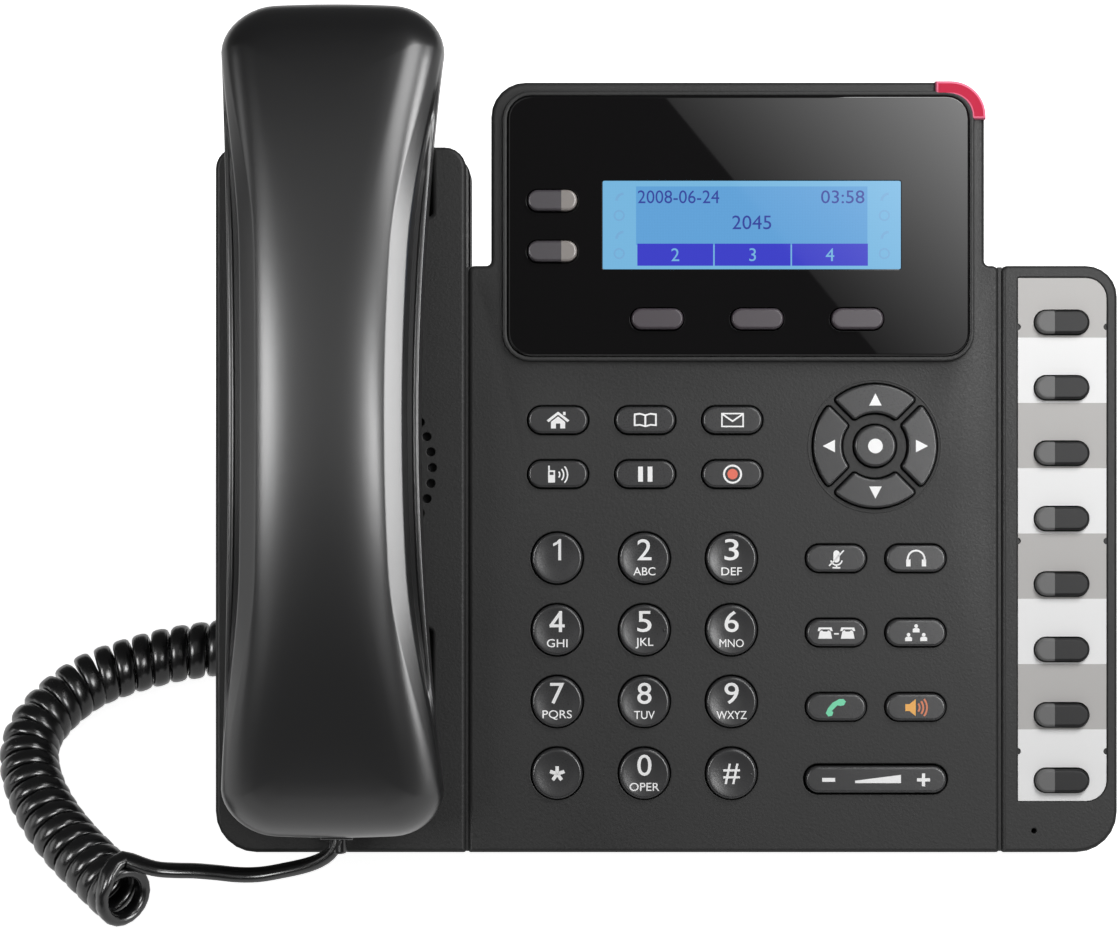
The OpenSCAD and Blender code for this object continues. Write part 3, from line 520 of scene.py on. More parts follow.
LAMP = plastic("crimson_lamp", srgb(196, 18, 62), 0.35, 3000, 0.06, 0.004, Specular_IOR_Level=0.2)
LAMP_EDGE = plastic("pale_lamp_edge", srgb(240, 120, 150), 0.35, 3000, 0.06, 0.004, Specular_IOR_Level=0.2)
PAPER = card_rows("paper_rows", srgb(253, 253, 253), srgb(198, 196, 194))
LCD_PALE = glow("lcd_pale", srgb(118, 182, 222), 0.05)
LCD_FIELD = glow("lcd_field", srgb(96, 162, 216), 0.08)
LCD_BAR = glow("lcd_bar", srgb(56, 58, 198), 0.05)
LCD_MARK = glow("lcd_mark", srgb(52, 66, 156), 0.1)
LCD_FAINT = glow("lcd_faint", srgb(118, 172, 214), 0.05)


# ---------- case ----------

KEY_GAP = 0.3
HOLE_EDGE = 0.22
HOLE_HOLD = 0.04                               # the wall's last step below a rounded edge
PANEL_EDGE = 1.0


def hole(bm, loop, gap=KEY_GAP, low=UNDER):
    """A hole through the front plate, with its upper edge rounded."""
    return sweep(bm, loop, [(gap, low)] + over(gap, TOP, HOLE_EDGE, lean=1, steps=2, hold=HOLE_HOLD))


def panel(bm, loop, holes):
    """One panel of the front housing: a wall along its outline and a plate with openings."""
    wall = [(-WALL, UNDER), (-WALL, SPLIT), (0, SPLIT)]
    close_ends(bm, sweep(bm, loop, wall + over(0, TOP, PANEL_EDGE)), holes)


GRILLE = (COLUMN[0], 89.2)
GRILLE_RINGS = ((21, 36), (17.3, 30), (13.6, 24), (9.9, 18))    # radius and number of holes
GRILLE_R = 1
WELL_HALF = 21
WELL_WALL = 2
WELLS = (9.9, 51.9, 147.4)                     # the lower one from and to, start of the upper one
WELL_R = 1.2
WELL_RIM = 0.8
WELL_FOOT = ((-0.4, 0), (-0.1, 0.1), (0, 0.4))
UPPER_R = 1                                    # corners of the upper well, which is open at the top
COLUMN_R = 5
HOOK_V = 156.4
HOOK_SLOT = (12.6, 6.6, 0.4)                   # width, length, corner radius
HOOK_POCKET = (17, 11, 0.4)                    # room for the flange of the hook, below the slot


def column_panel(bm):
    middle, right, top = COLUMN
    low, high, upper = WELLS
    well_a, well_b = middle - WELL_HALF, middle + WELL_HALF
    loop = rounded([
        (-HALF, 0, FOOT_R), (right, 0, SHARP), (right, top, COLUMN_R), (well_b, top, SHARP),
        (well_b, upper, UPPER_R), (well_a, upper, UPPER_R), (well_a, top, SHARP), (-HALF, top, COLUMN_R),
    ])
    holes = []
    for radius, count in GRILLE_RINGS:
        for k in range(count):
            t = 2 * math.pi * k / count
            x, v = GRILLE[0] + radius * math.cos(t), GRILLE[1] + radius * math.sin(t)
            holes.append(hole(bm, disc_loop(x, v, GRILLE_R, 12), gap=0))
    # lower well, with its floor and the underside of its walls
    well = box_loop(middle, (low + high) / 2, 2 * WELL_HALF, high - low, WELL_R)
    rim = sweep(bm, well, [(g, FLOOR + h) for g, h in WELL_FOOT] + over(0, TOP, WELL_RIM, lean=1))
    fill(bm, rim[0])
    shaft = sweep(bm, well, [(WELL_WALL, FLOOR - WELL_WALL), (WELL_WALL, UNDER)])
    fill(bm, shaft[0])
    panel(bm, loop, holes + [(shaft[1], rim[1])])
    # floor of the upper well, with the opening for the hook
    size = (2 * (WELL_HALF + WELL_WALL), top - upper)
    ends = sweep(bm, box_loop(middle, (upper + top) / 2, *size, 0.3), [(0, SPLIT)] + over(0, FLOOR, 0.2))
    step = FLOOR - WELL_WALL
    pocket = sweep(bm, box_loop(middle, HOOK_V, *HOOK_POCKET), [(0, SPLIT), (0, step)])
    slot = sweep(bm, box_loop(middle, HOOK_V, *HOOK_SLOT), [(0, step), (0, FLOOR)])
    close_ends(bm, ends, [(pocket[0], slot[1])])
    fill(bm, pocket[1], slot[0])


WINDOW_BOX = (16.55, 145, 106.6, 60, 5.3)
FRAME_IN = 0.12                                # gap between the window and its frame
FRAME = [                                      # the raised frame of the window, from its foot inwards
    (1.75, TOP), (1.35, TOP + 0.1), (1.2, TOP + 0.4), (1.2, PAD_TOP - 0.35), (1.1, PAD_TOP - 0.1),
    (0.85, PAD_TOP), (0.5, PAD_TOP), (0.22, PAD_TOP - 0.12), (FRAME_IN, PAD_TOP - 0.35),
    (FRAME_IN, WINDOW_FLOOR),
]


def sunk_floor(bm, floor, under, w, keys):
    """The floor of a sunk field and the plate's underside below it, with wells for keys."""
    wells = [sweep(bm, k, [(KEY_GAP, UNDER), (KEY_GAP, w)]) for k in keys]
    close_ends(bm, (under, floor), wells)


def main_panel(bm, face_keys, head_keys):
    left, right = MAIN
    head_left, head_right, head_top = HEAD
    top = WING[1]
    loop = rounded([
        (left, 0, SHARP), (right, 0, SHARP), (right, top, FACE_R), (head_right, top, STEP_R),
        (head_right, head_top, HEAD_R), (head_left, head_top, HEAD_R), (head_left, top, STEP_R),
        (left, top, FACE_R),
    ])
    holes = [hole(bm, k) for k in face_keys]
    window = box_loop(*WINDOW_BOX)
    outer, floor = sweep(bm, window, FRAME)
    under = ring(bm, window(FRAME_IN), UNDER)
    sunk_floor(bm, floor, under, WINDOW_FLOOR, head_keys)
    panel(bm, loop, holes + [(under, outer)])


CARD = (81.3, 102, 11.9, 133.2)                # left, right, lower and upper edge
CARD_R = 5
CARD_GAP = 0.1
CARD_BED_R = 0.4                               # the two left corners of the card's bed
WING_R = 7.2
MIC = (85.1, 5.1, 0.6)                         # x, v, radius


def wing_panel(bm, keys):
    left, top = WING
    loop = rounded([(left, 0, SHARP), (HALF, 0, FOOT_R), (HALF, top, WING_R), (left, top, FACE_R)])
    x0, x1, v0, v1 = CARD
    card = rounded([(x0, v0, CARD_BED_R), (x1, v0, CARD_R), (x1, v1, CARD_R), (x0, v1, CARD_BED_R)])
    floor, rim = hole(bm, card, CARD_GAP, CARD_FLOOR)
    under = ring(bm, card(CARD_GAP), UNDER)
    sunk_floor(bm, floor, under, CARD_FLOOR, keys)
    panel(bm, loop, [(under, rim), hole(bm, disc_loop(*MIC), gap=0)])


# ---------- keys: name -> centre x, v, width, height ----------

DIAL_D = 11.7
FUNC_SIZE = (13.8, 6.2)


def key_grid(rows, start, step, size, prefix="key_"):
    """Places for rows of names, the lowest row first unless the step goes down."""
    return {f"{prefix}{n}": (start[0] + c * step[0], start[1] + r * step[1], *size)
            for r, row in enumerate(rows) for c, n in enumerate(row)}


dial_keys = key_grid((("star", "0", "hash"), "789", "456", "123"),
                     (-25.3, 18.45), (20.15, 16.6), (DIAL_D, DIAL_D))
func_keys = key_grid((("intercom", "hold", "record"), ("home", "contacts", "message")),
                     (-25.1, 87.7), (20.15, 12.5), FUNC_SIZE)
func_keys |= key_grid((("send", "speaker"), ("transfer", "conference"), ("mute", "headset")),
                      (39.2, 33.8), (18.4, 17.2), FUNC_SIZE)
soft_keys = key_grid(("123",), (-2.2, 123.5), (23.05, 0), (12, 4.8), "soft_key_")
line_keys = key_grid("12", (-26.4, 150.8), (0, -11.7), (11.4, 4.8), "line_key_")
speed_keys = key_grid("87654321", (91.5, 16.8), (0, 15.15), (12.3, 5.3), "speed_key_")
NAV_TURNS = {"nav_right": 0, "nav_up": math.pi / 2, "nav_left": math.pi, "nav_down": -math.pi / 2}
OK_D = 9.6
ROCKER = (48.4, 17.1, 32.5, 6.1)
ROCKER_ROOM = 0.2                              # more gap than a key has, on each side
SEAM_FLOOR = (1, 0.6, 2, 0.8)                  # width, lack of length, underside and top below the face
BEAD_R = 15.35
# steps of the raised line's profile: outwards, above the face
BEAD = ((-0.24, -0.1), (-0.2, 0.09), (0, 0.14), (0.2, 0.09), (0.24, -0.1))


def front_housing():
    bm = bmesh.new()
    face = [pill_loop(*k) for k in (*dial_keys.values(), *func_keys.values())]
    face += [pill_loop(*NAV, OK_D, OK_D), pill_loop(*ROCKER[:2], *[d + 2 * ROCKER_ROOM for d in ROCKER[2:]])]
    face += [nav_loop(t) for t in NAV_TURNS.values()]
    column_panel(bm)
    main_panel(bm, face, [pill_loop(*k) for k in (*soft_keys.values(), *line_keys.values())])
    wing_panel(bm, [pill_loop(*k) for k in speed_keys.values()])
    # floors of the two seams
    width, short, low, high = SEAM_FLOOR
    for x in ((COLUMN[1] + MAIN[0]) / 2, (MAIN[1] + WING[0]) / 2):
        solid(bm, box_loop(x, WING[1] / 2, width, WING[1] - short, 0.1, 2), TOP - low, TOP - high, 0.1)
    # raised line round the arrow keys
    first, last = sweep(bm, disc_loop(*NAV, BEAD_R, 64), [(g, TOP + h) for g, h in BEAD])
    fill(bm, last, first)
    finish("front_case", bm, [HOUSING], "root", "housing", ["front_housing"])


front_housing()


# ---------- prints: thin raised shapes on the keys and the display ----------

PRINT_H = 0.03


def stroke(points, width):
    """The outline of a line with a width, as one closed loop of points."""
    sides = ([], [])
    for i, p in enumerate(points):
        here = Vector(p)
        ahead = Vector(points[min(i + 1, len(points) - 1)]) - Vector(points[max(i - 1, 0)])
        out = Vector((ahead.y, -ahead.x)).normalized() * width / 2
        sides[0].append(tuple(here + out))
        sides[1].append(tuple(here - out))
    return sides[0] + sides[1][::-1]


def arc(x, v, radius, start, end, steps=8):
    """Points of an arc between two angles in degrees."""
    turns = [math.radians(start + (end - start) * k / steps) for k in range(steps + 1)]
    return [(x + radius * math.cos(t), v + radius * math.sin(t)) for t in turns]


def disc(x, v, radius):
    return arc(x, v, radius, 0, 345, 23)


def rect(x0, v0, x1, v1):
    return [(x0, v0), (x1, v0), (x1, v1), (x0, v1)]


def mirrored(points):
    return [(-x, v) for x, v in reversed(points)]


def lift(bm, faces, x, v, w, slot, height=None):
    """Gives flat faces a thickness, half of it inside the key, and puts them in place.
    height gives the drop of the surface at a place measured from the middle of the print."""
    grown = bmesh.ops.extrude_face_region(bm, geom=faces, use_keep_orig=True)["geom"]
    upper = {g for g in grown if isinstance(g, bmesh.types.BMVert)}
    for vert in upper | {vert for f in faces for vert in f.verts}:
        drop = height(vert.co.x, vert.co.y) if height else 0
        vert.co += Vector((x, v, w + drop + (PRINT_H if vert in upper else -PRINT_H)))
        for f in vert.link_faces:
            f.material_index = slot


def mark(bm, place, slot, shapes, height=None):
    """Prints shapes at a place; a shape is an outline, or a list of an outline and its openings."""
    for shape in shapes:
        loops = shape if isinstance(shape[0], list) else [shape]
        faces = fill(bm, *[ring(bm, loop, 0) for loop in loops])
        lift(bm, faces, *place, slot, height)


DIGIT_SHARE = 0.7                              # height of a digit as a share of the font's size


def text(bm, words, place, slot, size, width=None, height=None, bold=0.0):
    """Digits or letters, centred on a place; size is the height of a digit."""
    curve = bpy.data.curves.new("digits", "FONT")
    curve.body = words
    curve.size = size / DIGIT_SHARE
    curve.resolution_u = 4
    curve.offset = bold
    holder = into_scene("digits", curve)
    bpy.context.view_layer.update()
    mesh = bpy.data.meshes.new_from_object(holder)
    bpy.data.objects.remove(holder)
    low = [min(p.co[i] for p in mesh.vertices) for i in (0, 1)]
    high = [max(p.co[i] for p in mesh.vertices) for i in (0, 1)]
    stretch = width / (high[0] - low[0]) if width else 1
    middle = Vector(((low[0] + high[0]) / 2, (low[1] + high[1]) / 2, 0))
    mesh.transform(Matrix.Diagonal((stretch, 1, 1, 1)) @ Matrix.Translation(-middle))
    before = set(bm.faces)
    bm.from_mesh(mesh)
    bpy.data.meshes.remove(mesh)
    lift(bm, [f for f in bm.faces if f not in before], *place, slot, height)


HOUSE = [
    [(-2.6, -0.05), (-2.2, -0.5), (0, 1.25), (2.2, -0.5), (2.6, -0.05), (0, 1.95)],
    [(-1.65, -1.95), (-0.5, -1.95), (-0.5, -0.8), (0.5, -0.8), (0.5, -1.95), (1.65, -1.95),
     (1.65, -0.45), (0, 0.85), (-1.65, -0.45)],
    rect(1.15, 1.15, 1.75, 1.9),
]
PAGE = [(0.22, -1.2), (1.2, -0.9), (2.25, -1.0), (2.25, 1.1), (1.2, 1.25), (0.22, 0.95)]
BOOK = [[[(0, -1.65), (1.2, -1.3), (2.65, -1.4), (2.65, 1.5), (1.2, 1.65), (0, 1.3), (-1.2, 1.65),
          (-2.65, 1.5), (-2.65, -1.4), (-1.2, -1.3)], PAGE, mirrored(PAGE)]]
ENVELOPE = [[rect(-2.62, -1.65, 2.62, 1.65), [(-1.95, 1.32), (0, -0.05), (1.95, 1.32)],
             [(-2.28, -1.32), (2.28, -1.32), (2.28, 1.08), (0, -0.5), (-2.28, 1.08)]]]
PAUSE = [rect(-1.65, -1.75, -0.55, 1.75), rect(0.55, -1.75, 1.65, 1.75)]
WAVES = [stroke(arc(-0.6, -0.1, r, -42, 42), 0.34) for r in (1.0, 1.9, 2.8)]
RADIO = [[rect(-2.3, -1.95, -0.7, 0.9), rect(-1.95, -0.2, -1.05, 0.5)], rect(-2.3, 0.95, -1.9, 1.95)]
MICROPHONE = [
    arc(0, 1.2, 0.72, 0, 180) + arc(0, -0.2, 0.72, 180, 360),
    stroke(arc(0, -0.2, 1.3, 190, 350, 10), 0.34),
    rect(-0.18, -2.1, 0.18, -1.6),
    rect(-0.9, -2.3, 0.9, -1.95),
]
SLASH = [stroke([(-1.7, -1.7), (1.7, 1.9)], 0.34)]
HEADSET = [stroke(arc(0, -0.1, 1.95, -12, 192, 16), 0.42), rect(-2.3, -1.8, -1.3, -0.2),
           rect(1.3, -1.8, 2.3, -0.2)]
DESK_PHONE = [
    [(-1.6, -1.3), (1.6, -1.3), (1.25, 0.35), (0.75, 0.65), (0.45, 0.35), (-0.45, 0.35), (-0.75, 0.65),
     (-1.25, 0.35)],
    [(-1.75, 0.45), (-1.2, 0.5), (-1.0, 0.85), (1.0, 0.85), (1.2, 0.5), (1.75, 0.45), (1.5, 1.3),
     (-1.5, 1.3)],
]
DASH = [rect(-0.55, -0.35, 0.55, 0.0)]
PERSON = [disc(0, 0.62, 0.42), [(-0.8, -0.85), (0.8, -0.85), (0.8, -0.1), (0.45, 0.15), (-0.45, 0.15),
                                (-0.8, -0.1)]]
RECEIVER = [[(-2.45, -1.3), (-1.9, -2.05), (-1.0, -1.9), (-0.75, -1.1), (-1.05, -0.75), (0.25, 0.55),
             (0.85, 0.35), (1.75, 0.55), (2.2, 1.4), (1.6, 2.0), (0.6, 1.95), (-0.9, 1.1), (-2.0, -0.2)]]
HORN = [[(-2.5, -0.8), (-1.5, -0.8), (-0.1, -2.0), (-0.1, 2.0), (-1.5, 0.8), (-2.5, 0.8)]]
SOUND = [stroke(arc(-0.7, 0, r, -38, 38), 0.42) for r in (1.5, 2.35, 3.2)]
TRIANGLE = [[(-1.25, -1.45), (1.55, 0), (-1.25, 1.45)]]
STAR = [stroke([(0, 0), (1.75 * math.cos(math.radians(t)), 1.75 * math.sin(math.radians(t)))], 0.8)
        for t in range(90, 450, 72)]
ONE = [[(0.25, -2.45), (0.9, -2.45), (0.9, 2.45), (0.45, 2.45), (-0.1, 1.85), (-0.95, 1.4), (-0.95, 0.8),
        (-0.2, 1.1), (0.25, 1.45)]]
FOUR = [stroke([(0.75, 2.45), (0.75, -2.45)], 0.75), stroke([(0.75, 2.1), (-1.55, -1.1)], 0.7),
        rect(-1.75, -1.35, 1.75, -0.65)]
PLUS = [[(-0.38, -1.5), (0.38, -1.5), (0.38, -0.38), (1.5, -0.38), (1.5, 0.38), (0.38, 0.38),
         (0.38, 1.5), (-0.38, 1.5), (-0.38, 0.38), (-1.5, 0.38), (-1.5, -0.38), (-0.38, -0.38)]]


MINUS = rect(-12.5, -0.45, -9.5, 0.45)
WEDGE = [(-4.9, -0.75), (5.7, -0.75), (5.7, 1.15), (-4.9, -0.2)]
PLUS_X = 10.9
ARROW_AT = 10.6                                # from the middle of the ring to its arrows
OK_DOT = disc(0, 0, 1.7)


def shifted(shapes, x, v):
    """The shapes moved to another place."""
    def move(loop):
        return [(x + px, v + pv) for px, pv in loop]
    return [[move(loop) for loop in s] if isinstance(s[0], list) else move(s) for s in shapes]


# ---------- keys ----------

DISH = 0.28
DISH_WIDE = 3.6
DISH_STEPS = 6
EDGE = 0.6
NAV_EDGE = 0.5
RIM = 0.05                                     # flat ring between a key's rounded edge and its top


def key_cap(bm, loop, top, edge=EDGE, dish=0.0):
    """A cap with a wide rounded edge; a dished one sinks towards its middle."""
    profile = [(0, KEY_LOW)] + over(0, top, edge, steps=5, hold=RIM)
    if dish:
        for k in range(1, DISH_STEPS + 1):
            share = k / DISH_STEPS
            profile.append((-edge - RIM - DISH_WIDE * share, top - dish * math.sin(share * math.pi / 2)))
    close_ends(bm, sweep(bm, loop, profile))


def dished(x, v):
    """How far a dialling key's top lies below its rim, at a place measured from its middle."""
    share = (DIAL_D / 2 - EDGE - RIM - math.hypot(x, v)) / DISH_WIDE
    return -DISH * math.sin(min(max(share, 0), 1) * math.pi / 2)


def key(name, bm, materials, slot="keycap"):
    finish(f"cap_{name}", bm, materials, name, slot, [name])


KEY_TOP = TOP + KEY_PROUD
HEAD_KEY_TOP = WINDOW_TOP + KEY_PROUD
LETTERS = {                                    # letters below a digit, and how wide they are set
    "2": ("ABC", 5.1), "3": ("DEF", 4.75), "4": ("GHI", 4.8), "5": ("JKL", 4.1), "6": ("MNO", 5.6),
    "7": ("PQRS", 6.8), "8": ("TUV", 4.8), "9": ("WXYZ", 7.0), "0": ("OPER", 6.9),
}
FUNC_MARKS = {
    "key_home": [(PRINT, HOUSE)],
    "key_contacts": [(PRINT, BOOK)],
    "key_message": [(PRINT, ENVELOPE)],
    "key_intercom": [(PRINT, RADIO + WAVES)],
    "key_hold": [(PRINT, PAUSE)],
    "key_record": [(PRINT, [[disc(0, 0, 2.2), disc(0, 0, 1.75)]]), (ORANGE, [disc(0, 0, 1.2)])],
    "key_mute": [(PRINT, MICROPHONE + SLASH)],
    "key_headset": [(PRINT, HEADSET)],
    "key_transfer": [(PRINT, shifted(DESK_PHONE, -2.6, 0) + DASH + shifted(DESK_PHONE, 2.6, 0))],
    "key_conference": [(PRINT, shifted(PERSON, 0, 1.0) + shifted(PERSON, -1.75, -1.0)
                        + shifted(PERSON, 1.75, -1.0))],
    "key_send": [(GREEN, RECEIVER)],
    "key_speaker": [(AMBER, HORN), (RUST, SOUND)],
}


DRAWN = {"1": ONE, "4": FOUR}
DIGIT = (4.9, 3.3)                             # height and width
DIGIT_V = 2                                    # from the middle of the key up to its digit
LETTERS_H = 1.85
LETTERS_V = -3
BOLD = 0.02
LETTERS_BOLD = 0.01                            # an M breaks when it is made bold
HASH = (4.7, 3.85)
NIB = ((0, -0.3), (0, -0.05), (-0.1, 0.1), (-0.22, 0.14))
NIB_X = 4.6
NIB_R = 0.35


def dialling_keys():
    for name, (x, v, width, _) in dial_keys.items():
        bm = bmesh.new()
        key_cap(bm, disc_loop(x, v, width / 2, 48), KEY_TOP, dish=DISH)
        label = name.split("_")[1]
        upper = ((x, v + DIGIT_V, KEY_TOP), 1)
        if label == "star":
            mark(bm, (x, v, KEY_TOP), 1, STAR, dished)
        elif label == "hash":
            text(bm, "#", (x, v, KEY_TOP), 1, *HASH, dished, BOLD)
        elif label in DRAWN:
            mark(bm, *upper, DRAWN[label], lambda a, b: dished(a, b + DIGIT_V))
        else:
            text(bm, label, *upper, *DIGIT, lambda a, b: dished(a, b + DIGIT_V), BOLD)
        if label in LETTERS:
            letters, wide = LETTERS[label]
            bold = 0 if "M" in letters else LETTERS_BOLD
            text(bm, letters, (x, v + LETTERS_V, KEY_TOP), 1, LETTERS_H, wide,
                 lambda a, b: dished(a, b + LETTERS_V), bold)
        if label in ("5", "hash"):
            nib = disc_loop(x + NIB_X, v, NIB_R, 12)
            close_ends(bm, sweep(bm, nib, [(g, KEY_TOP + h) for g, h in NIB]))
        key(name, bm, [KEYCAP, PRINT])


def function_keys():
    for name, place in func_keys.items():
        bm = bmesh.new()
        key_cap(bm, pill_loop(*place), KEY_TOP)
        for k, (_, shapes) in enumerate(FUNC_MARKS[name]):
            mark(bm, (*place[:2], KEY_TOP), k + 1, shapes)
        key(name, bm, [KEYCAP] + [m for m, _ in FUNC_MARKS[name]])


def arrow_keys():
    for name, turn in NAV_TURNS.items():
        bm = bmesh.new()
        key_cap(bm, nav_loop(turn), KEY_TOP, NAV_EDGE)
        spin = Matrix.Rotation(turn, 2)
        arrow = [tuple(spin @ Vector((x + ARROW_AT, v))) for x, v in TRIANGLE[0]]
        mark(bm, (*NAV, KEY_TOP), 1, [arrow])
        key(name, bm, [KEYCAP, PRINT])
    bm = bmesh.new()
    key_cap(bm, disc_loop(*NAV, OK_D / 2, 48), KEY_TOP)
    mark(bm, (*NAV, KEY_TOP), 1, [OK_DOT])
    key("nav_ok", bm, [KEYCAP, PRINT])


SPEED_SEAM = 0.35
LINE_SEAM = 0.68


def split_cap(name, place, top, share, cap, lens):
    """A cap whose shorter end is a light pipe; share is where the seam lies across its width."""
    bm = bmesh.new()
    key_cap(bm, pill_loop(*place), top)
    seam = place[0] + (share - 0.5) * place[2]
    everything = bm.verts[:] + bm.edges[:] + bm.faces[:]
    bmesh.ops.bisect_plane(bm, geom=everything, plane_co=(seam, 0, 0), plane_no=(1, 0, 0))
    for f in bm.faces:
        right = f.calc_center_median().x > seam
        f.material_index = int(right == (share > 0.5))
    key(name, bm, [cap, lens], "lens_key")


def lens_keys():
    for name, place in speed_keys.items():
        split_cap(name, place, KEY_TOP, SPEED_SEAM, LENS_CAP, LENS)
    for name, place in line_keys.items():
        split_cap(name, place, HEAD_KEY_TOP, LINE_SEAM, HEAD_CAP, HEAD_LENS)
    for name, place in soft_keys.items():
        bm = bmesh.new()
        key_cap(bm, pill_loop(*place), HEAD_KEY_TOP)
        key(name, bm, [SOFTCAP])


def volume_key():
    bm = bmesh.new()
    key_cap(bm, pill_loop(*ROCKER), KEY_TOP)
    mark(bm, (*ROCKER[:2], KEY_TOP), 1, [MINUS, WEDGE] + shifted(PLUS, PLUS_X, 0))
    finish("cap_rocker", bm, [KEYCAP, PRINT], "rocker", "rocker", ["volume_rocker"])


dialling_keys()
function_keys()
arrow_keys()
lens_keys()
volume_key()


# ---------- display, lamp and card ----------

LCD = (19.6, 145.2, 68.8, 20.4, 0.4)
LCD_TOP = WINDOW_TOP - 0.06
LCD_LOW = 17
LCD_GAP = 0.05
LCD_EDGE = 0.02
WINDOW_LOW = WINDOW_FLOOR + 0.2
WINDOW_CHAMFER = 0.2
WINDOW_EDGE = 0.45
OPENING_EDGE = 0.12
OPENING_HOLD = 0.03
# places on the display, from its middle
FIELD = rect(-26.7, -4.6, 26.7, 8.9)
CELL = (-17.65, -6.85, 17.5, 5.1)              # middle x and v, width, height of the first name field
CELL_PITCH = 17.85
LCD_WORDS = (                                  # words, middle x and v, height of a digit, width
    ("2008-06-24", -16.9, 6.5, 3.0, 18.8),
    ("03:58", 21.0, 6.5, 3.0, 10.0),
    ("2045", 0, 0.6, 3.2, 9.0),
)
SYMBOL_X = 30.6
SYMBOL_V = 6.6
SYMBOL_PITCH = 4.4
SYMBOLS = ([stroke(arc(1, -1, 1.6, 90, 180), 0.6)], [[disc(0, 0, 1.3), disc(0, 0, 0.9)]])


def gloss_window():
    bm = bmesh.new()
    wall = [(-WINDOW_CHAMFER, WINDOW_LOW), (0, WINDOW_LOW + WINDOW_CHAMFER)]
    ends = sweep(bm, box_loop(*WINDOW_BOX), wall + over(0, WINDOW_TOP, WINDOW_EDGE, steps=5))
    openings = [(pill_loop(*k), KEY_GAP) for k in (*soft_keys.values(), *line_keys.values())]
    openings.append((box_loop(*LCD), LCD_GAP))
    rims = []
    for loop, gap in openings:
        edge = over(gap, WINDOW_TOP, OPENING_EDGE, lean=1, steps=2, hold=OPENING_HOLD)
        rims.append(sweep(bm, loop, [(gap, WINDOW_LOW)] + edge))
    close_ends(bm, ends, rims)
    finish("gloss_window", bm, [WINDOW], "root", "window", ["display_window"])


def display():
    bm = bmesh.new()
    materials = [LCD_PALE, LCD_FIELD, LCD_BAR, LCD_MARK, LCD_FAINT, REAR]
    pale, field, bar, dark, faint, rear = range(len(materials))
    solid(bm, box_loop(*LCD), LCD_LOW, LCD_TOP, LCD_EDGE)
    for f in bm.faces:
        f.material_index = pale if f.calc_center_median().z > LCD_TOP - 0.1 else rear
    x, v = LCD[:2]
    printed_top = LCD_TOP + PRINT_H
    mark(bm, (x, v, LCD_TOP), field, [FIELD])
    a, b, width, height = CELL
    for k in range(3):
        spot = (x + a + CELL_PITCH * k, v + b)
        mark(bm, (*spot, printed_top), bar, [rect(-width / 2, -height / 2, width / 2, height / 2)])
        text(bm, str(k + 2), (*spot, printed_top + 0.6 * PRINT_H), pale, 3.0)
    for words, dx, dv, size, wide in LCD_WORDS:
        text(bm, words, (x + dx, v + dv, printed_top), dark, size, wide)
    for side in (-1, 1):
        for k in range(4):
            spot = (x + side * SYMBOL_X, v + SYMBOL_V - SYMBOL_PITCH * k, LCD_TOP)
            mark(bm, spot, faint, SYMBOLS[k % 2])
    finish("display_panel", bm, materials, "root", "lcd", ["lcd_module"])


LAMP_BAND = 3.2                                # width of the band round the head's corner
LAMP_ENDS = (62.2, 169.8)                      # x of its end on the top, v of its end on the side
LAMP_LOW = 18.8
LAMP_OUT = 0.04
LAMP_R = 0.5


def lamp():
    _, right, top = HEAD
    x, v = LAMP_ENDS
    band = rounded([(x, top - LAMP_BAND, 0), (right - LAMP_BAND, top - LAMP_BAND, HEAD_R - LAMP_BAND),
                    (right - LAMP_BAND, v, 0), (right, v, 0), (right, top, HEAD_R), (x, top, 0)], 10)
    bm = bmesh.new()
    first, last = sweep(bm, band, [(LAMP_OUT, LAMP_LOW)] + over(LAMP_OUT, PAD_TOP, LAMP_R))
    fill(bm, first)
    for f in bm.faces:
        f.material_index = 1
    for f in fill(bm, last):
        f.material_index = 0
    finish("corner_lamp", bm, [LAMP, LAMP_EDGE], "root", "lamp", ["message_lamp"])


CARD_EDGE = 0.2                                # gap at the card's rounded corners, and radius of the others
CARD_KEY_GAP = 0.35
PAPER_H = 0.35
CHAMFER = 0.05
NOTCH_R = 0.7
NOTCHES = (23.5, 72.2, 121.8)


def notches(x, inward, places):
    """Half rounds cut into an edge of the card; inward is the direction from the edge."""
    points = []
    for place in places:
        for k in range(7):
            t = math.pi * k / 6
            points.append((x + inward * NOTCH_R * math.sin(t), place + inward * NOTCH_R * math.cos(t), 0))
    return points


def card():
    x0, x1, v0, v1 = CARD
    r = CARD_R - CARD_EDGE
    loop = rounded([(x0, v0, CARD_EDGE), (x1, v0, r), *notches(x1, -1, NOTCHES), (x1, v1, r),
                    (x0, v1, CARD_EDGE), *notches(x0, 1, NOTCHES[::-1])])
    bm = bmesh.new()
    top = CARD_FLOOR + PAPER_H
    ends = sweep(bm, loop, [(-CARD_GAP, CARD_FLOOR), (-CARD_GAP, top - CHAMFER), (-CARD_GAP - CHAMFER, top)])
    holes = [sweep(bm, pill_loop(*k), [(CARD_KEY_GAP, CARD_FLOOR), (CARD_KEY_GAP, top)])
             for k in speed_keys.values()]
    close_ends(bm, ends, holes)
    finish("paper_card", bm, [PAPER], "root", "card", ["label_card"])


gloss_window()
display()
lamp()
card()


# ---------- handset ----------

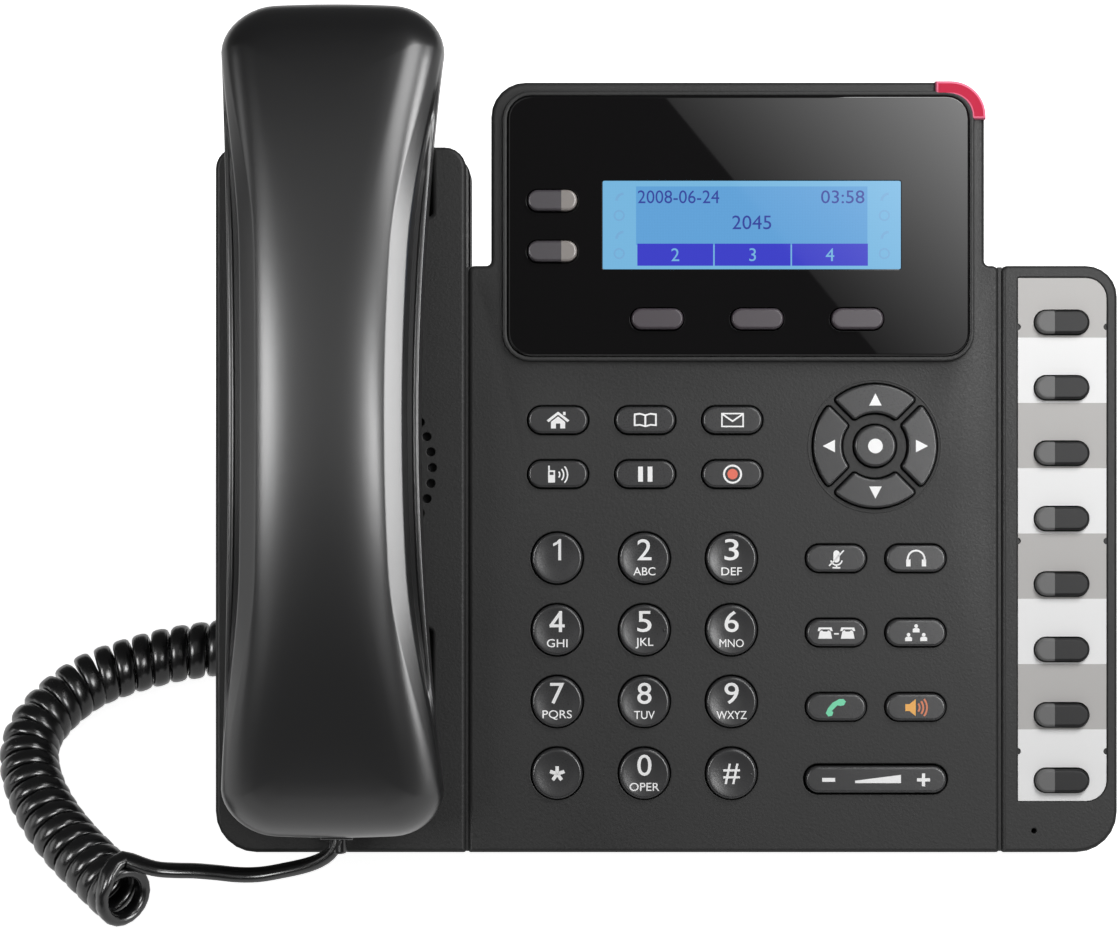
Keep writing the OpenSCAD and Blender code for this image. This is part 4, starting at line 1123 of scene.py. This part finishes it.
HANDSET_X = COLUMN[0]
HANDSET = (5.9, 193.4)
HANDSET_MID = sum(HANDSET) / 2
HANDSET_HALF = HANDSET_MID - HANDSET[0]
COVER_W = (64, 48.5)                           # top of the cover, in the middle and at the ends
SHELL_W = (42.5, 31.5)                         # underside of the shell, in the middle and at the ends
END_HALF = 24.9
WAIST_HALF = 20.8
PLAN_R = 11.5
FLAT_X = (0, 4, 8, 11.5)                       # points on the straight piece of an end
SIDE_STEPS = 24
BOW = 1.2                                      # how far the corners lie behind the middle of an end
SEAM = 10                                      # below the top of the cover
WAIST_SHIFT = -1.0                             # the waist lies this far off the middle of the ends
FULL_FROM = (20, 48)                           # v where the side profile starts, and over what length
FULL_TO = (186, 50)                            # v where it ends, and over what length
RIDGE = 22                                     # the line along the middle starts this far from an end
SHELL_IN = 0.35                                # the shell starts this far in, as a groove below the cover
LIP = 1.5
WELD = 0.004
CAP = (37, 38, 12, 25)                         # width, length, corner radius, from an end to its middle
CAP_LOW = 14.4
CAP_EDGE = 1.6
CAP_INSIDE = 2                                 # how far a cap reaches into the shell
PIT_STEP = 6
PIT_R = 1
PIT = ((0, 1.6), (0, 0.15), (0.15, 0))
FOOT_SIDE = 3                                  # rounding under the grip and under the ends
FOOT_END = 7


def bulge(v, heights):
    """An arc along the handset with its middle at one height and its ends at another."""
    top, ends = heights
    drop = top - ends
    radius = (HANDSET_HALF ** 2 + drop ** 2) / (2 * drop)
    return top - radius + math.sqrt(radius ** 2 - (v - HANDSET_MID) ** 2)


def handset_top(v):
    return bulge(v, COVER_W)


def handset_under(v):
    return bulge(v, SHELL_W)


def handset_plan():
    """Points round the handset and the directions that point inwards from them."""
    quarter = [(x, 0) for x in FLAT_X]
    quarter += arc(END_HALF - PLAN_R, PLAN_R, PLAN_R, -90, 0, 10)
    side = HANDSET_HALF - PLAN_R
    dip = END_HALF - WAIST_HALF
    radius = (side ** 2 + dip ** 2) / (2 * dip)
    for k in range(1, SIDE_STEPS + 1):
        along = side * k / SIDE_STEPS
        x = WAIST_HALF + radius - math.sqrt(radius ** 2 - (side - along) ** 2)
        quarter.append((x, PLAN_R + along))
    quarter = [(x, HANDSET[0] + v + BOW * (x / END_HALF) ** 2 * max(0, 1 - v / PLAN_R))
               for x, v in quarter]
    right = quarter + [(x, 2 * HANDSET_MID - v) for x, v in reversed(quarter[:-1])]
    points = right + [(-x, v) for x, v in reversed(right[1:-1])]
    inward = []
    for i in range(len(points)):
        ahead = Vector(points[(i + 1) % len(points)]) - Vector(points[i - 1])
        inward.append(Vector((-ahead.y, ahead.x)).normalized())
    return [Vector(p) for p in points], inward


def ease(t):
    """A soft step from 0 to 1."""
    t = min(max(t, 0), 1)
    return t * t * (3 - 2 * t)


def side_share(v):
    """1 where the cover has its full side profile, and 0 at the ends."""
    return ease((v - FULL_FROM[0]) / FULL_FROM[1]) * ease((FULL_TO[0] - v) / FULL_TO[1])


# how far in from the edge and how far below the top, at the sides and at the ends
COVER_SIDE = [
    (0, SEAM), (0, 9.1), (0.12, 8.8), (0.4, 8.65), (1.1, 8.65), (1.35, 8.8), (1.5, 9.15), (2.5, 9.15),
    (2.7, 8.8), (3.15, 5.4), (3.3, 5.05), (3.6, 4.75), (6.75, 2.0), (7.0, 1.8), (7.35, 1.6), (8.8, 1.13),
    (10.5, 0.75),
]
COVER_END = [
    (0, SEAM), (0, 9.3), (0.01, 9.1), (0.02, 8.9), (0.03, 8.7), (0.05, 8.4), (0.08, 8.1), (0.12, 7.8),
    (0.18, 7.45), (0.28, 7.0), (0.42, 6.6), (0.62, 6.1), (0.95, 5.4), (1.4, 4.7), (2.1, 3.8), (3.6, 2.4),
    (6, 1.0),
]
COVER_INNER = [(0.15, 0.5, 0.4), (0.34, 0.27, 0.1), (0.55, 0.13, 0.02), (0.78, 0.04, 0), (1, 0, 0)]


def handset_rings(height, sides, ends, inner):
    """Rings of one half of the handset. sides and ends are (inset, depth) lists that blend
    along it, and inner is a list of (share of the way to the middle line, depth, end depth)."""
    points, inward = handset_plan()
    rings = []
    for (side_in, side_deep), (end_in, end_deep) in zip(sides, ends):
        placed = []
        for p, n in zip(points, inward):
            b = side_share(p.y)
            q = p + n * (end_in + b * (side_in - end_in))
            placed.append((q.x, q.y, end_deep + b * (side_deep - end_deep)))
        rings.append(placed)
    rim = rings[-1]
    for share, side_deep, end_deep in inner:
        placed = []
        for x, v, _ in rim:
            target = min(max(v, HANDSET[0] + RIDGE), HANDSET[1] - RIDGE)
            deep = end_deep + side_share(v) * (side_deep - end_deep)
            placed.append((x * (1 - share), v + (target - v) * share, deep))
        rings.append(placed)
    return [[(HANDSET_X + x + WAIST_SHIFT * (1 - ((v - HANDSET_MID) / HANDSET_HALF) ** 2), v,
              height(v) - deep) for x, v, deep in placed] for placed in rings]


def seam_plate(inset):
    """Rings of the flat face that closes a half of the handset at the seam, from the middle out."""
    edge = [(inset, SEAM)]
    return handset_rings(handset_top, edge, edge, [(0.5, SEAM, SEAM), (1, SEAM, SEAM)])[::-1]


def skin(bm, rings):
    """A surface through rings that all have as many points."""
    first = ring(bm, [(x, v) for x, v, _ in rings[0]], 0)
    for vert, (_, _, w) in zip(first, rings[0]):
        vert.co.z = w
    last = first
    for placed in rings[1:]:
        last = grow_ring(bm, last, placed)
    return first, last


def handset_cover():
    rings = handset_rings(handset_top, COVER_SIDE, COVER_END, COVER_INNER)
    bm = bmesh.new()
    skin(bm, seam_plate(0) + rings[1:])
    finish("handset_top_cover", bm, [COVER], "handset", "handset_cover", ["handset_cover"], weld=WELD)


def rounded_foot(radius, steps=5):
    """The lower edge of the shell: (inset, depth) from its wall to its underside."""
    turns = [math.pi / 2 * k / steps for k in range(steps + 1)]
    return [(radius * (1 - math.cos(t)), -radius * (1 - math.sin(t))) for t in turns]


def handset_shell():
    groove = [(LIP, SEAM), (SHELL_IN, SEAM), (SHELL_IN, SEAM + 0.3), (0, SEAM + 0.5)]
    seam = handset_rings(handset_top, groove, groove, [])
    under = handset_rings(handset_under, rounded_foot(FOOT_SIDE), rounded_foot(FOOT_END),
                          [(0.3, 0, 0), (0.65, 0, 0), (1, 0, 0)])
    bm = bmesh.new()
    skin(bm, seam_plate(LIP) + seam[1:] + under)
    width, length, radius, inset = CAP
    edge = [(g, -w) for g, w in over(0, -CAP_LOW, CAP_EDGE, steps=5)]
    for middle, rows in ((HANDSET[0] + inset, (0,)), (HANDSET[1] - inset, (-PIT_STEP, 0, PIT_STEP))):
        loop = box_loop(HANDSET_X, middle, width, length, radius, 8)
        first, last = sweep(bm, loop, [(0, handset_under(middle) + CAP_INSIDE)] + edge)
        pits = [sweep(bm, disc_loop(HANDSET_X + dx, middle + dv, PIT_R, 14),
                      [(g, CAP_LOW + h) for g, h in PIT])
                for dv in rows for dx in (-PIT_STEP, 0, PIT_STEP)]
        fill(bm, first)
        fill(bm, last, *[p[1] for p in pits])
        for p in pits:
            fill(bm, p[0])
    finish("handset_under_shell", bm, [SHELL], "handset", "handset_shell", ["handset_shell"], weld=WELD)


handset_cover()
handset_shell()


# ---------- cord ----------

WIRE_WIDE = 4.2                                # the wire is flat: this wide along the coil
WIRE_FLAT = 2.7
WIRE_SIDES = 14
SQUARENESS = 0.75                              # 1 is an ellipse, less is nearer to a box
COIL_R = 5.8
COIL_STEP = 0.1
TURN_STEPS = 20
PITCH_BASE = 5.2
PITCH_END = 4.25
TAPER = (9, 0.8)                               # length and power of the coil's narrowing at the base
CLIMB = (0.25, 1.1, 2.9)                       # turns, pitches along and distance out of the last climb
LINE_CUTS = 40
LOOSE_STEP = 1.5
BASE_ROUTE = [
    (-32, 8.2, 47.6), (-32, 11.5, 44.3), (-32.5, 16, 38), (-34.5, 19, 30), (-38, 19, 22),
    (-43, 16, 14.5), (-49, 12, 9.5), (-56, 8.5, 7.5), (-63, 6, 7.15),
]
COIL_ROUTE = [
    (-67, 4.5, 7.15), (-80, 3, 7.15), (-92, 2, 7.15), (-103, 1, 7.15), (-113, -0.5, 7.15),
    (-123.5, -2.7, 7.15), (-133.3, -6.2, 7.15), (-142.5, -11, 7.15), (-149.3, -18, 7.15),
    (-153.6, -26, 7.15), (-154.4, -34, 7.15), (-151.6, -43.5, 7.15), (-146.2, -53, 7.15),
    (-139.7, -61.2, 7.15), (-133.6, -67.5, 7.2), (-128.4, -72.8, 7.6), (-125.2, -76, 8.4), (-124, -77.6, 9.3),
]
LEAD_ROUTE = [
    (-75.25, -70.1, 22.5), (-75.9, -71.5, 20.8), (-78.3, -72.4, 18.4), (-82.4, -72.6, 15.8),
    (-88.7, -72.3, 13), (-94, -72.2, 11.4), (-99, -72, 11), (-104, -71.6, 11.3),
    (-109, -71.6, 12), (-113.5, -72.1, 12.9), (-118.2, -72.4, 14.2),
]
PLUG = (7.6, 6.6, 13)                          # width, height, length
LATCH = (3.4, 0.8)                             # width, height
SLEEVE = (2.1, 3.5)                            # radius, length
BASE_PLUG_AT = (-32, 78, 9.4)
HAND_PLUG_AT = (HANDSET_X, HANDSET[0] - 1, 34)


def smooth_line(points, step):
    """A Catmull-Rom line through points, cut into steps of one length."""
    points = [Vector(p) for p in points]
    ends = [2 * points[0] - points[1]] + points + [2 * points[-1] - points[-2]]
    fine = []
    for a, b, c, d in zip(ends, ends[1:], ends[2:], ends[3:]):
        for k in range(LINE_CUTS):
            t = k / LINE_CUTS
            fine.append(0.5 * (2 * b + t * (c - a) + t * t * (2 * a - 5 * b + 4 * c - d)
                               + t ** 3 * (3 * b - a - 3 * c + d)))
    fine.append(points[-1])
    line, spare = [fine[0]], 0.0
    for a, b in zip(fine, fine[1:]):
        span = (b - a).length
        while spare + span >= step:
            a = a.lerp(b, (step - spare) / span)
            span = (b - a).length
            spare = 0.0
            line.append(a)
        spare += span
    return line + [fine[-1]]


def coil_line():
    """The middle of the coiled wire, from its free end back to the base, and the outward
    direction at each point. The last part of a turn climbs back over the coil."""
    axis = smooth_line(BASE_ROUTE[-2:] + COIL_ROUTE, COIL_STEP)[::-1]
    end = len(axis) - 1
    side = FACE.to_3x3() @ Vector((0, 1, 0))
    frames = []
    for i in range(len(axis)):
        ahead = (axis[max(i - 1, 0)] - axis[min(i + 1, end)]).normalized()
        side = (side - ahead * side.dot(ahead)).normalized()
        frames.append((side.copy(), ahead.cross(side)))
    total = len(axis) * COIL_STEP
    taper, power = TAPER
    climb, climb_along, climb_out = CLIMB
    line, outward = [], []
    turns, along = 0.0, 0.0
    while along < total - COIL_STEP:
        pitch = PITCH_END + (PITCH_BASE - PITCH_END) * along / total
        back = ease(1 - turns / climb)
        radius = COIL_R * min(1, (total - along) / taper) ** power + climb_out * back
        i = min(int((along + climb_along * pitch * back) / COIL_STEP), end)
        one, two = frames[i]
        spin = 2 * math.pi * turns
        out = math.cos(spin) * one + math.sin(spin) * two
        line.append(axis[i] + radius * out)
        outward.append(out)
        turns += 1 / TURN_STEPS
        along += pitch / TURN_STEPS
    return line, outward


def cord_line():
    """Points of the whole wire, from the base to the handset, and its outward directions."""
    coil, outward = coil_line()
    coil.reverse()
    outward.reverse()
    base = smooth_line(BASE_ROUTE[:-2] + [tuple(coil[0])], LOOSE_STEP)[:-1]
    lead = smooth_line([tuple(coil[-1])] + LEAD_ROUTE[::-1], LOOSE_STEP)[1:]
    return base + coil + lead, [outward[0]] * len(base) + outward + [None] * len(lead)


def flat_tube(bm, line, outward):
    """A tube of a flat wire along a line; outward points along its thin way."""
    def swell(c):
        return math.copysign(abs(c) ** SQUARENESS, c) / 2
    turns = [2 * math.pi * k / WIRE_SIDES for k in range(WIRE_SIDES)]
    shape = [(swell(math.cos(t)) * WIRE_WIDE, swell(math.sin(t)) * WIRE_FLAT) for t in turns]
    thin = outward[0]
    rings = []
    for i, place in enumerate(line):
        way = (line[min(i + 1, len(line) - 1)] - line[max(i - 1, 0)]).normalized()
        thin = outward[i] or thin
        thin = (thin - way * thin.dot(way)).normalized()
        wide = way.cross(thin)
        rings.append([tuple(place + a * wide + b * thin) for a, b in shape])
    ends = []
    for placed in (rings[0], rings[-1]):
        middle = sum((Vector(p) for p in placed), Vector()) / len(placed)
        ends.append([tuple(middle.lerp(Vector(p), 0.5)) for p in placed])
    for verts in skin(bm, [ends[0]] + rings + [ends[1]]):
        bmesh.ops.contextual_create(bm, geom=edges_of(bm, verts))


def plug(name, place, body):
    """A modular plug with its latch, drawn along its own z and put in place."""
    bm = bmesh.new()
    width, height, length = PLUG
    solid(bm, box_loop(0, 0, width, height, 0.5, 3), 0, length, 0.4, 0.4)
    solid(bm, box_loop(0, height / 2 + 0.2, *LATCH, 0.3, 3), 1, length - 1.5, 0.2, 0.2)
    solid(bm, disc_loop(0, 0, SLEEVE[0], 20), -SLEEVE[1], 1, 0.5, 0.5)
    return finish(name, bm, [PLUG_PLASTIC], body, "cord", place=place)


def cord():
    path, outward = cord_line()
    bm = bmesh.new()
    flat_tube(bm, path, outward)
    obj = finish("coiled_cord", bm, [CORD], None, "cord", ["cord_coil", "handset_lead"], place=WORLD)
    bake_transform(obj)
    upright = Matrix.Rotation(math.pi, 4, "X")
    base_plug = plug("base_plug", FACE @ Matrix.Translation(BASE_PLUG_AT) @ upright, "root")
    into = Matrix.Translation(HAND_PLUG_AT) @ Matrix.Rotation(-math.pi / 2, 4, "X")
    hand_plug = plug("handset_plug", FACE @ into, "handset")


cord()


# ---------- pieces kept from the CAD model ----------

CAD_MATERIALS = {
    "rear_housing": REAR, "stand": STAND, "rubber_feet": RUBBER, "case_screws": STEEL,
    "circuit_board": BOARD, "loudspeaker": SPEAKER, "hook_switch": KEYCAP, "handset_capsules": SPEAKER,
}
for node, material in CAD_MATERIALS.items():
    materials = frame["nodes"][node].data.materials
    for i in range(len(materials)):
        materials[i] = material


# ---------- surroundings ----------

def radiance(tree, base, across, up, place, curve):
    """Emission that changes over the face frame: a slope per metre across and up, to a power."""
    face = face_place(tree)
    start = base - across * place[0] * MM - up * place[1] * MM
    side = calc(tree, "MULTIPLY_ADD", face["X"], across, start)
    total = calc(tree, "MULTIPLY_ADD", face["Y"], up, side)
    return calc(tree, "POWER", total, curve)


def reflector(name, corners, base, across=0.0, up=0.0, place=(0, 0), curve=1, lit=()):
    """A card that only shows in reflections, on the lit pieces if any are named.
    Its corners are in the face frame."""
    bm = bmesh.new()
    bmesh.ops.contextual_create(bm, geom=[bm.verts.new(FACE @ Vector(c)) for c in corners])
    mesh = mesh_of(name, bm)
    material = bpy.data.materials.new(name)
    material.use_nodes = True
    tree = material.node_tree
    tree.nodes.clear()
    strength = radiance(tree, base, across, up, place, curve)
    add(tree, "OutputMaterial", Surface=add(tree, "Emission", Strength=strength).outputs[0])
    mesh.materials.append(material)
    obj = into_scene(name, mesh)
    for kind in ("camera", "diffuse", "transmission", "volume_scatter", "shadow"):
        setattr(obj, f"visible_{kind}", False)
    if lit:
        linked = bpy.data.collections.new(name)
        for piece in bpy.data.objects:
            if piece.name.startswith(lit):
                linked.objects.link(piece)
        obj.light_linking.receiver_collection = linked


FAR = 4000
SIDES_FROM = (HANDSET_X, 100, 55)              # the place on the handset that the side cards are seen from
# starts of the names of the pieces that mirror the side cards
MIRRORED_BY = ("handset_top", "coiled")
SOFTBOX_MIRRORED_BY = ("handset_", "cap_", "front_", "coiled")
SIDE_CARDS = (                                 # name, angles from the face normal, reach up, strength
    ("left_softbox", (-44, -26), (-6, 14), 24, SOFTBOX_MIRRORED_BY),
    ("right_softbox", (17, 34), (-6, 14), 30, SOFTBOX_MIRRORED_BY),
    ("right_strip", (66, 84), (-12, 24), 22, MIRRORED_BY),
    ("left_strip", (-86, -70), (-12, 24), 3, MIRRORED_BY),
)
WINDOW_CARD_W = 400                            # above the window
# edge of the window's bright half, as places of the face that the camera sees in front of it
WINDOW_BRIGHT = ((-12, 189.1), (62, 99.4), (100, 99.4), (100, 189.1))
# base radiance, its slopes across and up, the place of the base, power
WINDOW_RADIANCE = (0.84, 12.6, 12.3, (34.4, 232), 2)
OVERHEAD = ((-330, 20, 650), (-58, 20, 650), (-58, 600, 650), (-330, 600, 650))
OVERHEAD_STRENGTH = 0.75


def reflectors():
    k = 1 + WINDOW_CARD_W / VIEW_DISTANCE
    corners = [(VIEW[0] + k * (x - VIEW[0]), VIEW[1] + k * (v - VIEW[1]), WINDOW_TOP + WINDOW_CARD_W)
               for x, v in WINDOW_BRIGHT]
    reflector("window_card", corners, *WINDOW_RADIANCE)
    x, v, w = SIDES_FROM
    for name, (start, end), (low, high), strength, lit in SIDE_CARDS:
        corners = [(x + FAR * math.sin(t), v + FAR * math.tan(rise), w + FAR * math.cos(t))
                   for t, rise in ((math.radians(a), math.radians(b)) for a, b in
                                   ((start, low), (end, low), (end, high), (start, high)))]
        reflector(name, corners, strength, lit=lit)
    reflector("overhead_card", OVERHEAD, OVERHEAD_STRENGTH)


def lamp_panel(name, place, aim, size, power):
    """An area lamp; place and aim are in the face frame."""
    data = bpy.data.lights.new(name, "AREA")
    data.shape = "RECTANGLE"
    data.size, data.size_y = size
    data.energy = power
    light = into_scene(name, data)
    start, end = FACE @ Vector(place), FACE @ Vector(aim)
    light.location = start
    light.rotation_euler = (end - start).to_track_quat("-Z", "Y").to_euler()


LAMP_PANELS = (                                # name, place, aim, size in metres, power
    ("key_panel", (200, 400, 330), (0, 90, 0), (0.22, 0.22), 1.8),
    ("fill_panel", (-500, 200, 700), (0, 100, 0), (0.6, 0.6), 0.4),
)
WORLD_LIGHT = 0.22
WORLD_MIRRORED = 0.1                           # its strength in reflections
DESK_HALF = 4
DESK_SEEN = 0.8                                # emission that only the camera sees
DESK_MIRRORED = 0.6                            # emission that only reflections see
DESK_GLOW = 0.12                               # emission that all rays see


def world():
    """A dim white world; the camera sees it as a white backdrop."""
    made = bpy.data.worlds.new("studio")
    bpy.context.scene.world = made
    made.use_nodes = True
    tree = made.node_tree
    rays = add(tree, "LightPath").outputs
    tone = add(tree, "MapRange", Value=rays["Is Glossy Ray"], To_Min=WORLD_LIGHT, To_Max=WORLD_MIRRORED)
    strength = calc(tree, "MAXIMUM", tone.outputs["Result"], rays["Is Camera Ray"])
    sky = tree.nodes["Background"]
    sky.inputs["Color"].default_value = (1, 1, 1, 1)
    tree.links.new(strength, sky.inputs["Strength"])
    bpy.context.scene.view_settings.view_transform = "Standard"


def desk():
    bm = bmesh.new()
    bmesh.ops.create_grid(bm, x_segments=1, y_segments=1, size=DESK_HALF)
    mesh = mesh_of("desk", bm)
    material, tree, shader = new_material(
        "white_desk", Roughness=0.8, Base_Color=(0.9, 0.9, 0.9, 1), Emission_Color=(1, 1, 1, 1),
        Specular_IOR_Level=0.1)
    rays = add(tree, "LightPath").outputs
    mirrored_part = calc(tree, "MULTIPLY_ADD", rays["Is Glossy Ray"], DESK_MIRRORED, DESK_GLOW)
    seen = calc(tree, "MULTIPLY_ADD", rays["Is Camera Ray"], DESK_SEEN, mirrored_part)
    tree.links.new(seen, shader.inputs["Emission Strength"])
    mesh.materials.append(material)
    into_scene("desk", mesh)


world()
desk()
reflectors()
for panel_values in LAMP_PANELS:
    lamp_panel(*panel_values)
